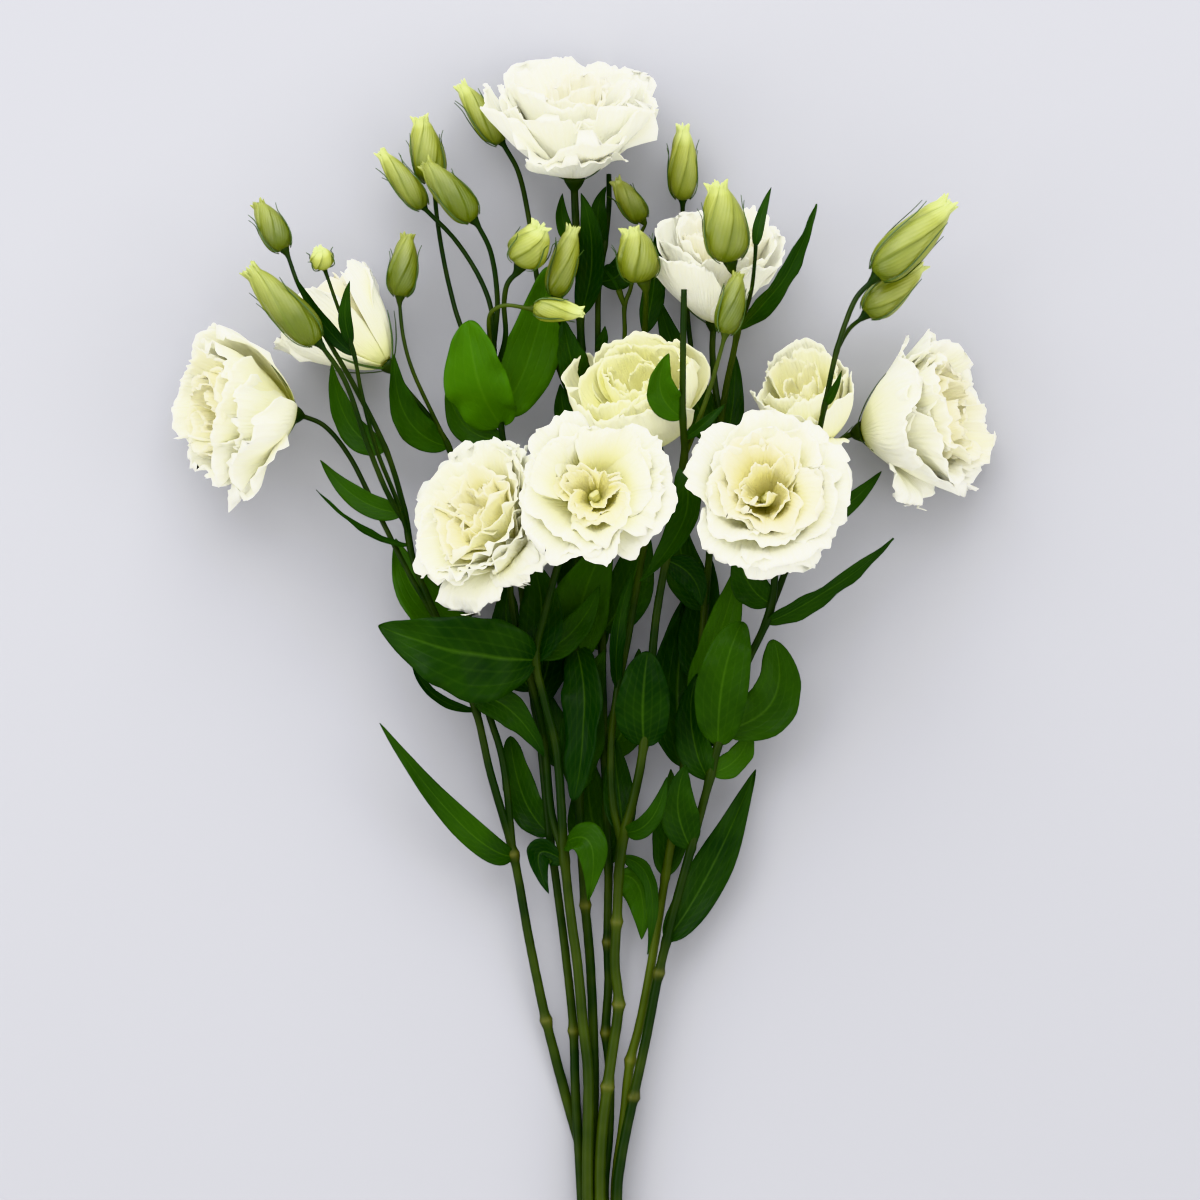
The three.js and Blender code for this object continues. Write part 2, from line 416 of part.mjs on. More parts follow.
// One sepal: a three-sided spike out of a triangle in the cup's side. The spine lists radius, height and width
// along it, from above the cup to the tip; no two sepals of a calyx are quite alike.
function sepal(verts, tris, root, calyx, f, k) {
  const turn = (2 * Math.PI * (k + PHASE)) / SIDES;
  let ring = root;
  calyx.spine.forEach(([r, h, width], i) => {
    const start = verts.length;
    if (!width) {
      const [flare, reach] = [1 + 0.12 * Math.sin(5 * k + calyx.r), 1 + 0.1 * Math.cos(3 * k)];
      verts.push(around(calyx.seat, f, turn, r * flare, h * reach));
      for (let m = 0; m < 3; m++) tris.push(ring[(m + 1) % 3], ring[m], start);
      return;
    }
    const [dr, dh] = [calyx.spine[i + 1][0] - r, calyx.spine[i + 1][1] - h];
    const size = Math.hypot(dr, dh);
    const across = width / 2 / r;
    verts.push(around(calyx.seat, f, turn - across, r, h), around(calyx.seat, f, turn + across, r, h));
    verts.push(around(calyx.seat, f, turn, r + (SEPAL_THICK * dh) / size, h - (SEPAL_THICK * dr) / size));
    for (let m = 0; m < 3; m++) {
      const n = (m + 1) % 3;
      tris.push(ring[n], ring[m], start + m, ring[n], start + m, start + n);
    }
    ring = [start, start + 1, start + 2];
  });
}

// Point, radius and direction on a shoot, a given distance up the bunch.
function along(found, y) {
  let k = found.findIndex((s, i) => i > 0 && (s.p.y - y) * (found[i - 1].p.y - y) <= 0);
  if (k < 1) k = found.length - 1;
  const [a, b] = [found[k - 1], found[k]];
  const t = Math.min(Math.max((y - a.p.y) / (b.p.y - a.p.y || 1), 0), 1);
  return { p: a.p.clone().lerp(b.p, t), r: lerp(a.r, b.r, t), dir: b.p.clone().sub(a.p).normalize() };
}

// ---------------------------------------------------------------------------------------------
// Leaf: a blade on a bent midrib, folded up a little along it, its edges waved. The narrowest ones
// beside the flower stalks are three-sided slivers.
function leaf(base, bend, tip, width, roll) {
  const rib = new THREE.QuadraticBezierCurve3(base, bend, tip);
  const across = (s) => {
    const dir = rib.getTangent(s);
    const side = dir.clone().cross(V(0, 0, 1)).normalize().applyAxisAngle(dir, rad(roll));
    return { p: rib.getPoint(s), side, up: side.clone().cross(dir) };
  };
  if (width <= SLIVER_TO) {
    return skin(LEAF_SLIVER.map(([s, w]) => {
      const { p, side, up } = across(s);
      const half = (w * width) / 2;
      if (!half) return [p];
      return [[-1, 0], [1, 0], [0, 1]].map(([u, v]) => p.clone().addScaledVector(side, u * half)
        .addScaledVector(up, v * (SLIVER_RIB[0] + SLIVER_RIB[1] * half)));
    }));
  }
  const medium = width < MEDIUM_FROM ? LEAF_NARROW : LEAF_MEDIUM;
  const shape = width < WIDE_FROM ? medium : LEAF_WIDE;
  return blade(shape.map(([s, w], i) => {
    const { p, side, up } = across(s);
    const half = (w * width) / 2;
    const wave = i && i < shape.length - 1 ? LEAF_WAVE * width * (i % 2 ? 1 : -1) : 0;
    return [-1, 0, 1].map((u) => p.clone().addScaledVector(side, u * half)
      .addScaledVector(up, Math.abs(u) * LEAF_FOLD * half + u * wave));
  }), LEAF_THICK);
}

// ---------------------------------------------------------------------------------------------
// Flowers are made upright about their own axis, foot at the origin, and then turned into place.
const around = (c, f, turn, r, h) => c.clone().addScaledVector(f.x, r * Math.cos(turn))
  .addScaledVector(f.y, r * Math.sin(turn)).addScaledVector(f.n, h);
const UPRIGHT = { x: V(1, 0, 0), y: V(0, 1, 0), n: V(0, 0, 1) };
const onAxis = (turn, r, h) => around(V(0, 0, 0), UPRIGHT, turn, r, h);
function place(made, seat, axis, spin) {
  const x = V(0, 0, 1).cross(axis);
  if (x.length() < 0.2) x.set(1, 0, 0).addScaledVector(axis, -axis.x);
  x.normalize().applyAxisAngle(axis, rad(spin));
  const foot = seat.clone().addScaledVector(axis, SEAT_GAP);
  const turned = new THREE.Matrix4().makeBasis(x, axis.clone().cross(x), axis);
  return made.transform(turned.setPosition(foot).elements);
}

// Petal: a blade on a cup-shaped profile of (radius, height) pairs. One edge lies over its neighbour and the
// other under it, and all of them share one wave round the rim, so that they overlap without crossing.
function petal(turn, half, profile) {
  const last = profile.length - 1;
  const R = profile[last][0];
  const grid = profile.map((_, i) => Array.from({ length: PETAL_COLS }, (_, j) => {
    const u = (2 * j) / (PETAL_COLS - 1) - 1;
    const v = i * (1 - SHORT_EDGE * u * u);
    const k = Math.min(Math.floor(v), last - 1);
    const [r, h] = [0, 1].map((n) => lerp(profile[k][n], profile[k + 1][n], v - k));
    const before = profile[Math.max(i - 1, 0)];
    const after = profile[Math.min(i + 1, last)];
    const [dr, dh] = [after[0] - before[0], after[1] - before[1]];
    const size = Math.hypot(dr, dh);
    const spread = turn + u * half * (i === last ? RIM_TAPER : 1);
    const lift = i && R * (u * WRAP + (RUFFLE * i * Math.sin(RUFFLES * spread)) / last);
    return onAxis(spread, r + (lift * dh) / size, h - (lift * dr) / size);
  }));
  return blade(grid, PETAL_THICK);
}

// Double bloom: three whorls of petals rise out of the flat top of a short solid tube, whose foot sits on
// the calyx. Each whorl: how many petals, their half angle, the first one's place, the profile.
function bloom(R, depth, open) {
  const scaled = (profile) => profile.map(([r, h]) => [r * R, h * depth]);
  const outer = OUTER.map(([r, h]) => [r, r < 1 ? h : h - DROOP * open]);
  const whorls = [[5, 47, 0, outer], [3, 58, 0.5, MIDDLE], [2, 86, 0.2, INNER]];
  const foot = skin(scaled(TUBE).map(([r, h]) =>
    Array.from({ length: 5 }, (_, k) => onAxis((2 * k * Math.PI) / 5, r, h))));
  const petals = whorls.flatMap(([count, half, first, profile]) => Array.from({ length: count }, (_, k) =>
    petal(first + (k * 2 * Math.PI) / count, rad(half), scaled(profile))));
  return Manifold.union([foot, ...petals]).simplify(SLIVERS);
}

// Bud: five petals furled round each other, ridged and twisted, opening in a small star at the tip.
function bud(length, R) {
  return skin(BUD_SHAPE.map(([r, h, twist, valley]) => Array.from({ length: 2 * RIDGES }, (_, k) =>
    onAxis((k * Math.PI) / RIDGES + rad(twist), r * R * (k % 2 ? 1 : valley), h * length))));
}

// ---------------------------------------------------------------------------------------------
// Everything placed.
const shoots = {};
for (const [name, node, parent, fork, r0, r1, path] of SHOOTS) {
  const points = path.map((p) => V(...p));
  if (parent) points.unshift(along(shoots[parent].found, fork).p);
  const joints = JOINTS.filter(([shoot]) => shoot === name).map(([, y]) => y);
  shoots[name] = { node, found: stations(points, r0, r1, joints) };
}

const pieces = []; // [node, solid]
for (const [name, shoot, facing, R, depth, open, spin] of BLOOMS) {
  const axis = V(...facing).normalize();
  const cup = BLOOM_CUP * R;
  const seat = shoots[shoot].found.at(-1).p.clone().addScaledVector(axis, cup);
  const reach = BLOOM_SEPAL[0] + BLOOM_SEPAL[1] * R;
  const spine = BLOOM_SPINE.map(([out, up, width]) => [cup + out * reach, up * reach, width]);
  shoots[shoot].calyx = { axis, seat, r: cup, spine };
  pieces.push([name, place(bloom(R, depth, open), seat, axis, spin)]);
}
for (const [name, shoot, tip, R] of BUDS) {
  const foot = shoots[shoot].found.at(-1).p;
  const way = V(...tip).sub(foot);
  const axis = way.clone().normalize();
  const cup = BUD_CUP * R;
  const seat = foot.clone().addScaledVector(axis, cup);
  const length = way.length() - cup - SEAT_GAP;
  const spine = BUD_SPINE.map(([clear, up, width]) => [R + clear, up * length, width]);
  shoots[shoot].calyx = { axis, seat, r: cup, spine };
  pieces.push([name, place(bud(length, R), seat, axis, BUD_SPIN * R)]);
}
for (const { node, found, calyx } of Object.values(shoots)) pieces.push([node, shootSkin(found, calyx)]);
for (const [shoot, y, bend, tip, width, roll] of LEAVES) {
  const { p } = along(shoots[shoot].found, y);
  pieces.push([shoots[shoot].node, leaf(p, V(...bend), V(...tip), width, roll)]);
}

// One closed body for each node: joined, flat where it lies on the surface, hollows filled, scraps dropped.
const paints = {
  stem: new THREE.Color(0x4f7f35), bloom: new THREE.Color(0xf6f5ea), bud: new THREE.Color(0xc9d68a),
};
const group = new THREE.Group();
group.name = 'lisianthus_bunch';
for (const node of [...new Set(pieces.map(([n]) => n))]) {
  const joined = Manifold.union(pieces.filter(([n]) => n === node).map(([, s]) => s))
    .trimByPlane([0, 0, 1], 0).simplify(SLIVERS);
  const body = joined.decompose().reduce((a, b) => (b.volume() > a.volume() ? b : a)).translate(LIE);
  const { vertProperties, triVerts } = body.getMesh();
  const geometry = new THREE.BufferGeometry()
    .setAttribute('position', new THREE.BufferAttribute(Float32Array.from(vertProperties), 3))
    .setIndex(new THREE.BufferAttribute(Uint32Array.from(triVerts), 1)).toNonIndexed();
  geometry.computeVertexNormals();
  const kind = node.split('_')[0];
  const paint = new THREE.MeshStandardMaterial({ color: paints[kind], roughness: 0.6, metalness: 0 });
  const mesh = new THREE.Mesh(geometry, paint);
  mesh.name = node;
  group.add(mesh);
}

export default group;
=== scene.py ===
# %% [markdown]
# # A bunch of cut lisianthus, lying flat
# Eight leafy stems with ten double white blooms and eighteen furled buds lie on a pale surface, and the
# camera looks straight down on them. The imported model gives every stem, bloom and bud its place and size.
# This file keeps those places and gives each one its fine shape: many thin petals, veined leaves, ribbed
# stalks. The frame is loaded first.

# %% The imported frame
import math
import random

import bmesh
import bpy
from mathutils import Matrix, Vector, noise


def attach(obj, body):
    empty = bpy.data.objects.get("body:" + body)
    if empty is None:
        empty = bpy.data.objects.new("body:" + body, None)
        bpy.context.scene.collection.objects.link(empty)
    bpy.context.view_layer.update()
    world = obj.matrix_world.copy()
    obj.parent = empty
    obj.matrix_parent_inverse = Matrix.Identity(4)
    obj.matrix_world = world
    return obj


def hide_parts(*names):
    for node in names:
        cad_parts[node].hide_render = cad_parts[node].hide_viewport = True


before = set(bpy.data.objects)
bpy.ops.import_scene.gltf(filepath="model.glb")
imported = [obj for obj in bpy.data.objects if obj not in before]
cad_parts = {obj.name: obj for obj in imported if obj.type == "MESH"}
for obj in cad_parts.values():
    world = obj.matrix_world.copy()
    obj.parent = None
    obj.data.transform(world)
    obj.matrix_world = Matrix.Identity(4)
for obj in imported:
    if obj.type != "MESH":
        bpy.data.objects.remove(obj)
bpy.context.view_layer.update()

# %% [markdown]
# ## The camera
# The photograph looks at the bunch from the front, with almost no perspective. The bunch lies down here,
# so the same view is from straight above. A long lens from three metres keeps the flowers that lie higher
# from growing in the picture. The frame is 600 mm wide, and the cut ends fall just outside it, as they do
# in the photograph.

# %% Camera
MM = 0.001
LIE = Vector((9.6, -320.2, 0))  # from the drawing of the bunch to the middle of its box, in millimetres
CAMERA_HEIGHT = 3.0
FRAME_WIDTH = 0.6  # metres seen across the picture, at the height of the flowers
FLOWER_HEIGHT = 0.06
LOOK_AT = 370  # how far up the bunch the middle of the picture is, in millimetres
SENSOR = 36.0

lens = bpy.data.cameras.new("camera_lens")
lens.sensor_width = SENSOR
lens.lens = SENSOR * (CAMERA_HEIGHT - FLOWER_HEIGHT) / FRAME_WIDTH
camera = bpy.data.objects.new("camera", lens)
camera.location = (LIE.x * MM, (LIE.y + LOOK_AT) * MM, CAMERA_HEIGHT)
bpy.context.scene.collection.objects.link(camera)
bpy.context.scene.camera = camera
print("lens in millimetres:", round(lens.lens, 1))

# %% [markdown]
# ## The layout
# The same lists as the imported model's source, in millimetres from the middle of the cut ends, with z above
# the surface. A shoot is a stem or a side stalk: its name, the shoot it forks from and where, its radius at
# the foot and at the tip, and the points its middle runs through. The digit in the name is its stem's. All
# were read off the photograph, with heights that keep the pieces clear of each other. The rows of the top
# bloom and of eight leaves were eased a little after the first renders.

# %% Stems and stalks
SHOOTS = [
    ("s1", None, None, 3, 1, [
      (11.5, 0, 2.3), (-4, 70, 2.3), (-16.5, 114, 4), (-27.5, 156.5, 8), (-36, 197.5, 13),
      (-44, 241.5, 19), (-55.5, 282.5, 24), (-63.5, 316.5, 28), (-80, 356, 34), (-94, 390, 38),
      (-99, 417.5, 42), (-107.5, 445.5, 48), (-124.5, 480, 60), (-137.5, 502.5, 68),
      (-144.5, 516, 70), (-150.5, 527.5, 69), (-156, 542.5, 66)]),
    ("s1_right", "s1", 241.5, 1.9, 1.3, [
      (-49.5, 290, 24), (-58, 318, 24), (-65, 350, 24), (-69, 390, 26), (-72.5, 425, 28),
      (-76.5, 447.5, 32), (-87.5, 464, 36), (-97.5, 476, 38), (-104.5, 486, 37)]),
    ("s1_b8", "s1_right", 447.5, 1.1, 0.9, [
      (-85, 465, 38), (-94.5, 486, 42), (-99, 502.5, 42), (-101, 520, 40)]),
    ("s1_left", "s1", 356, 1.4, 1.2, [
      (-95, 381, 36), (-112.5, 415, 34), (-127.5, 444, 30), (-140, 458.5, 26), (-151.5, 463.5, 24)]),
    ("s1_b6", "s1", 407.5, 1.4, 1.2, [
      (-106, 422.5, 52), (-116, 447, 60), (-127.5, 480, 72), (-138.5, 496.5, 76)]),
    ("s1_b7", "s1", 402.5, 1.2, 0.9, [
      (-102, 420, 48), (-111.5, 444, 54), (-119, 473, 64), (-123, 494.5, 72), (-130.5, 516, 76),
      (-136.5, 533.5, 78)]),
    ("s2", None, None, 2.6, 1.2, [
      (-6, 3, 8.8), (-9.6, 70, 8.8), (-12.5, 120.5, 8.8), (-13.5, 151, 9.6), (-17, 186, 12),
      (-21.5, 221.5, 15), (-26, 255, 18), (-30, 295, 20), (-35, 330, 22), (-39, 370, 25),
      (-44, 410, 28), (-49, 450, 31), (-52, 477.5, 35), (-53.5, 495, 40), (-51.5, 520, 46),
      (-55, 545, 50), (-61.5, 558.5, 52)]),
    ("s2_b3", "s2", 495, 1.3, 1.1, [
      (-54.5, 515, 40), (-60, 531, 38), (-73, 551.5, 36), (-87.5, 566.5, 35)]),
    ("s2_b11", "s2", 487.5, 1.1, 1, [
      (-55.5, 502.5, 50), (-54.5, 513.5, 62), (-48, 517, 66), (-35.5, 515.5, 67)]),
    ("s2_b2", "s2", 467.5, 1.3, 1.1, [
      (-70, 507.5, 30), (-76.5, 530, 26), (-81.5, 556, 24), (-84, 578, 25)]),
    ("s2_b9", "s2", 484, 1.3, 1.3, [
      (-47.5, 502.5, 48), (-48, 519, 58), (-46, 528.5, 62), (-41.5, 533.5, 63)]),
    ("s3", None, None, 3.2, 1.6, [
      (-3, -2, 14.6), (-6.3, 70, 14.6), (-6, 131.5, 15.4), (-8.5, 153.5, 17), (-11.5, 186, 19.5),
      (-14.5, 207.5, 22), (-18, 240, 27), (-22, 295, 34), (-27.5, 318, 39), (-32.5, 341.5, 44),
      (-27, 365, 54), (-20, 390, 64), (-9, 412, 74), (-2.5, 418.5, 82)]),
    ("s3_left", "s3", 240, 2, 1.5, [
      (-24.5, 262, 25), (-28, 297.5, 28), (-35, 330, 34), (-43, 360, 39), (-45, 380, 41),
      (-41, 392, 43), (-36.5, 396, 44)]),
    ("s4", None, None, 2.6, 1.9, [
      (0, 2, 8.8), (-3.7, 70, 8.8), (-3, 131.5, 9.2), (-5, 186, 11.5), (-7.5, 215, 13),
      (-10, 255, 16), (-11.5, 295, 18), (-12, 330, 20), (-12, 370, 22), (-11, 420, 24),
      (-9, 470, 25), (-10, 513, 26), (-11, 545, 26), (-12.5, 566, 27), (-13, 579, 28)]),
    ("s4_b1", "s4", 460, 1.5, 1.2, [
      (-20, 485, 27), (-27.5, 510, 26), (-33, 540, 26), (-36, 563, 24), (-41.5, 587, 24),
      (-48.5, 600, 23)]),
    ("s4_b10", "s4", 497.5, 1.2, 1, [
      (-17, 505, 34), (-22, 514, 46), (-23, 520, 50)]),
    ("s5", None, None, 3.1, 1.5, [
      (3, 0, 14.6), (0, 70, 14.6), (1, 99, 14.8), (3.8, 123, 15.4), (6.5, 142.5, 16.4),
      (9.5, 165, 18), (7.5, 186, 20.5), (8.5, 207.5, 23.5), (11, 246, 30), (17, 270, 36),
      (21, 290, 40), (24.5, 320, 44), (28, 360, 48), (33, 390, 56), (38, 420, 68), (42, 442.5, 80),
      (41, 460, 88), (41, 490, 94), (41.5, 523.5, 95)]),
    ("s5_left", "s5", 246, 2, 1.5, [
      (6.5, 268, 33), (5.5, 297.5, 36), (9, 325, 38), (14, 350, 40), (21, 390, 38), (28, 425, 33),
      (31, 441, 31), (30, 449, 32)]),
    ("s5_b16", "s5", 441, 1.3, 1, [
      (49, 459, 84), (55.5, 478, 87), (61.5, 499.5, 88)]),
    ("s6", None, None, 2.6, 1.3, [
      (6, 2, 8.8), (2.1, 70, 8.8), (4.5, 99, 8.8), (4.9, 131.5, 9.2), (3, 150, 10), (4.3, 175, 11),
      (3.8, 196.5, 12.5), (4.3, 234.5, 15), (3, 270, 17), (1.5, 320, 18), (1, 370, 18),
      (1, 420, 19), (0, 470, 20), (-1, 500, 21), (-0.5, 531, 24), (2.5, 550, 22), (4.5, 570, 19),
      (4.5, 586, 15)]),
    ("s6_b12", "s6", 437.5, 1.4, 0.9, [
      (6, 460, 22), (11, 485, 24), (12.5, 505, 28), (12.5, 519, 32), (15.5, 527.5, 32),
      (18, 545, 28), (20.5, 555, 25), (23, 560, 26)]),
    ("s6_stub", "s6_b12", 518.5, 1.2, 1.4, [
      (11, 522, 33), (9.5, 526.5, 34)]),
    ("s6_b14", "s6", 425, 1.5, 1.3, [
      (10, 450, 17), (18, 475, 17), (22, 500, 26), (23, 517, 44), (23, 525.5, 54)]),
    ("s7", None, None, 2.7, 1.4, [
      (12, 1, 8.8), (8, 70, 8.8), (12, 104.5, 9.2), (15.5, 136, 10.6), (20, 153.5, 12),
      (26.5, 188, 15), (33, 229, 19), (40, 270, 24), (46.5, 310, 26), (51.5, 350, 28),
      (55, 390, 29), (58, 430, 31), (61, 460, 34), (63.5, 477.5, 44), (67.5, 497.5, 60),
      (70, 515, 72), (68.5, 528, 78), (65.5, 534, 80)]),
    ("s7_bloom", "s7", 460, 1.7, 1.5, [
      (58, 480, 26), (57, 497.5, 17), (57.5, 508, 14)]),
    ("s7_b13", "s7", 450, 1.4, 1.1, [
      (50, 475, 18), (45.5, 505, 9), (43.5, 530, 6.5), (43, 550, 6.5), (42, 563, 10), (42, 571, 15)]),
    ("s7_top", "s7", 502.5, 1.1, 0.9, [
      (75, 522.5, 74), (77, 539, 76), (77.5, 547, 76)]),
    ("s8", None, None, 2.8, 1.7, [
      (11, -1, 14.6), (8.8, 70, 14.6), (11, 88, 14.8), (17, 117.5, 15.6), (23.5, 148, 17.4),
      (30, 181.5, 20.5), (37.5, 213, 24.5), (43, 233.5, 27.5), (46, 244.5, 29), (56, 282.5, 36),
      (60.5, 300.5, 40), (72.5, 335, 44), (85, 363.5, 50), (87.5, 385, 58), (85.5, 409, 68),
      (83, 417, 74)]),
    ("s8_right", "s8", 363.5, 1.7, 1.5, [
      (93.5, 385, 42), (102.5, 410, 34), (113, 435.5, 25), (118, 446.5, 20), (124, 452.5, 16),
      (129, 454.5, 13.9)]),
    ("s8_b17", "s8_right", 400, 1.5, 1.3, [
      (102.5, 417.5, 46), (106, 435, 60), (110, 457.5, 72), (114, 477.5, 77), (117, 491.5, 78),
      (122.5, 509, 76), (128, 521, 73), (135.5, 529, 71)]),
    ("s8_b18", "s8_b17", 494, 1.2, 1.1, [
      (122, 502, 70), (126, 507, 62), (131, 511, 57)]),
    ("s8_b9", "s8_right", 387.5, 1.5, 1.4, [
      (100, 410, 30), (107, 432.5, 20), (110.5, 446, 18)]),
]
print("shoots:", len(SHOOTS))

# %% [markdown]
# Blooms and buds sit on the end of a shoot. A bloom has the direction it faces, its radius, its depth, how
# far open it is, and a turn about its own axis. A bud has its tip and its radius. A leaf has the shoot it
# grows from and how far up, the point its midrib bends towards, its tip, its width, and its roll in degrees.

# %% Blooms, buds, leaves and joints
BLOOMS = [
    ("bloom_1", "s4", (0, 0.9, 0.44), 44, 54, 0.55, 110),
    ("bloom_2", "s7_bloom", (0.1, 0.86, 0.5), 34, 56, 0.5, 70),
    ("bloom_3", "s1_right", (-0.68, 0.7, -0.16), 33, 56, 0.4, 10),
    ("bloom_4", "s1_left", (-0.84, 0.06, 0.5), 38, 55, 0.4, 45),
    ("bloom_5", "s3_left", (-0.6, 0.42, 0.66), 41, 50, 0.8, 0),
    ("bloom_6", "s3", (-0.02, 0.22, 1), 36, 42, 0.9, 30),
    ("bloom_7", "s5_left", (-0.26, 0.7, 0.66), 33, 46, 0, 80),
    ("bloom_8", "s8", (-0.04, 0.24, 1), 39, 42, 0.9, 55),
    ("bloom_9", "s8_b9", (-0.2, 0.76, 0.62), 30, 46, 0.3, 15),
    ("bloom_10", "s8_right", (0.88, 0.2, 0.42), 41, 60, 0.6, 35),
]
BUDS = [
    ("bud_1", "s4_b1", (-71, 631, 22), 7),
    ("bud_2", "s2_b2", (-91, 614, 28), 9),
    ("bud_3", "s2_b3", (-111, 596, 33), 6.5),
    ("bud_4", "s2", (-88, 589, 54), 8.5),
    ("bud_5", "s1", (-171, 568.5, 62), 7.5),
    ("bud_6", "s1_b6", (-174.5, 534.5, 78), 9.5),
    ("bud_7", "s1_b7", (-139.5, 544, 87), 6),
    ("bud_8", "s1_b8", (-97, 554, 37), 7.75),
    ("bud_9", "s2_b9", (-29.5, 556.5, 74), 10.5),
    ("bud_10", "s4_b10", (-13.5, 557, 52), 7.5),
    ("bud_11", "s2_b11", (-8.5, 513.5, 70), 6.25),
    ("bud_12", "s6_b12", (7.5, 582, 30), 6.5),
    ("bud_13", "s7_b13", (42, 610, 24), 7.5),
    ("bud_14", "s6_b14", (15, 556, 60), 10.5),
    ("bud_15", "s7", (58, 576, 88), 11.5),
    ("bud_16", "s5_b16", (68.5, 532, 86), 7),
    ("bud_17", "s8_b17", (174, 568.5, 72), 11),
    ("bud_18", "s8_b18", (161, 539, 54), 9),
]
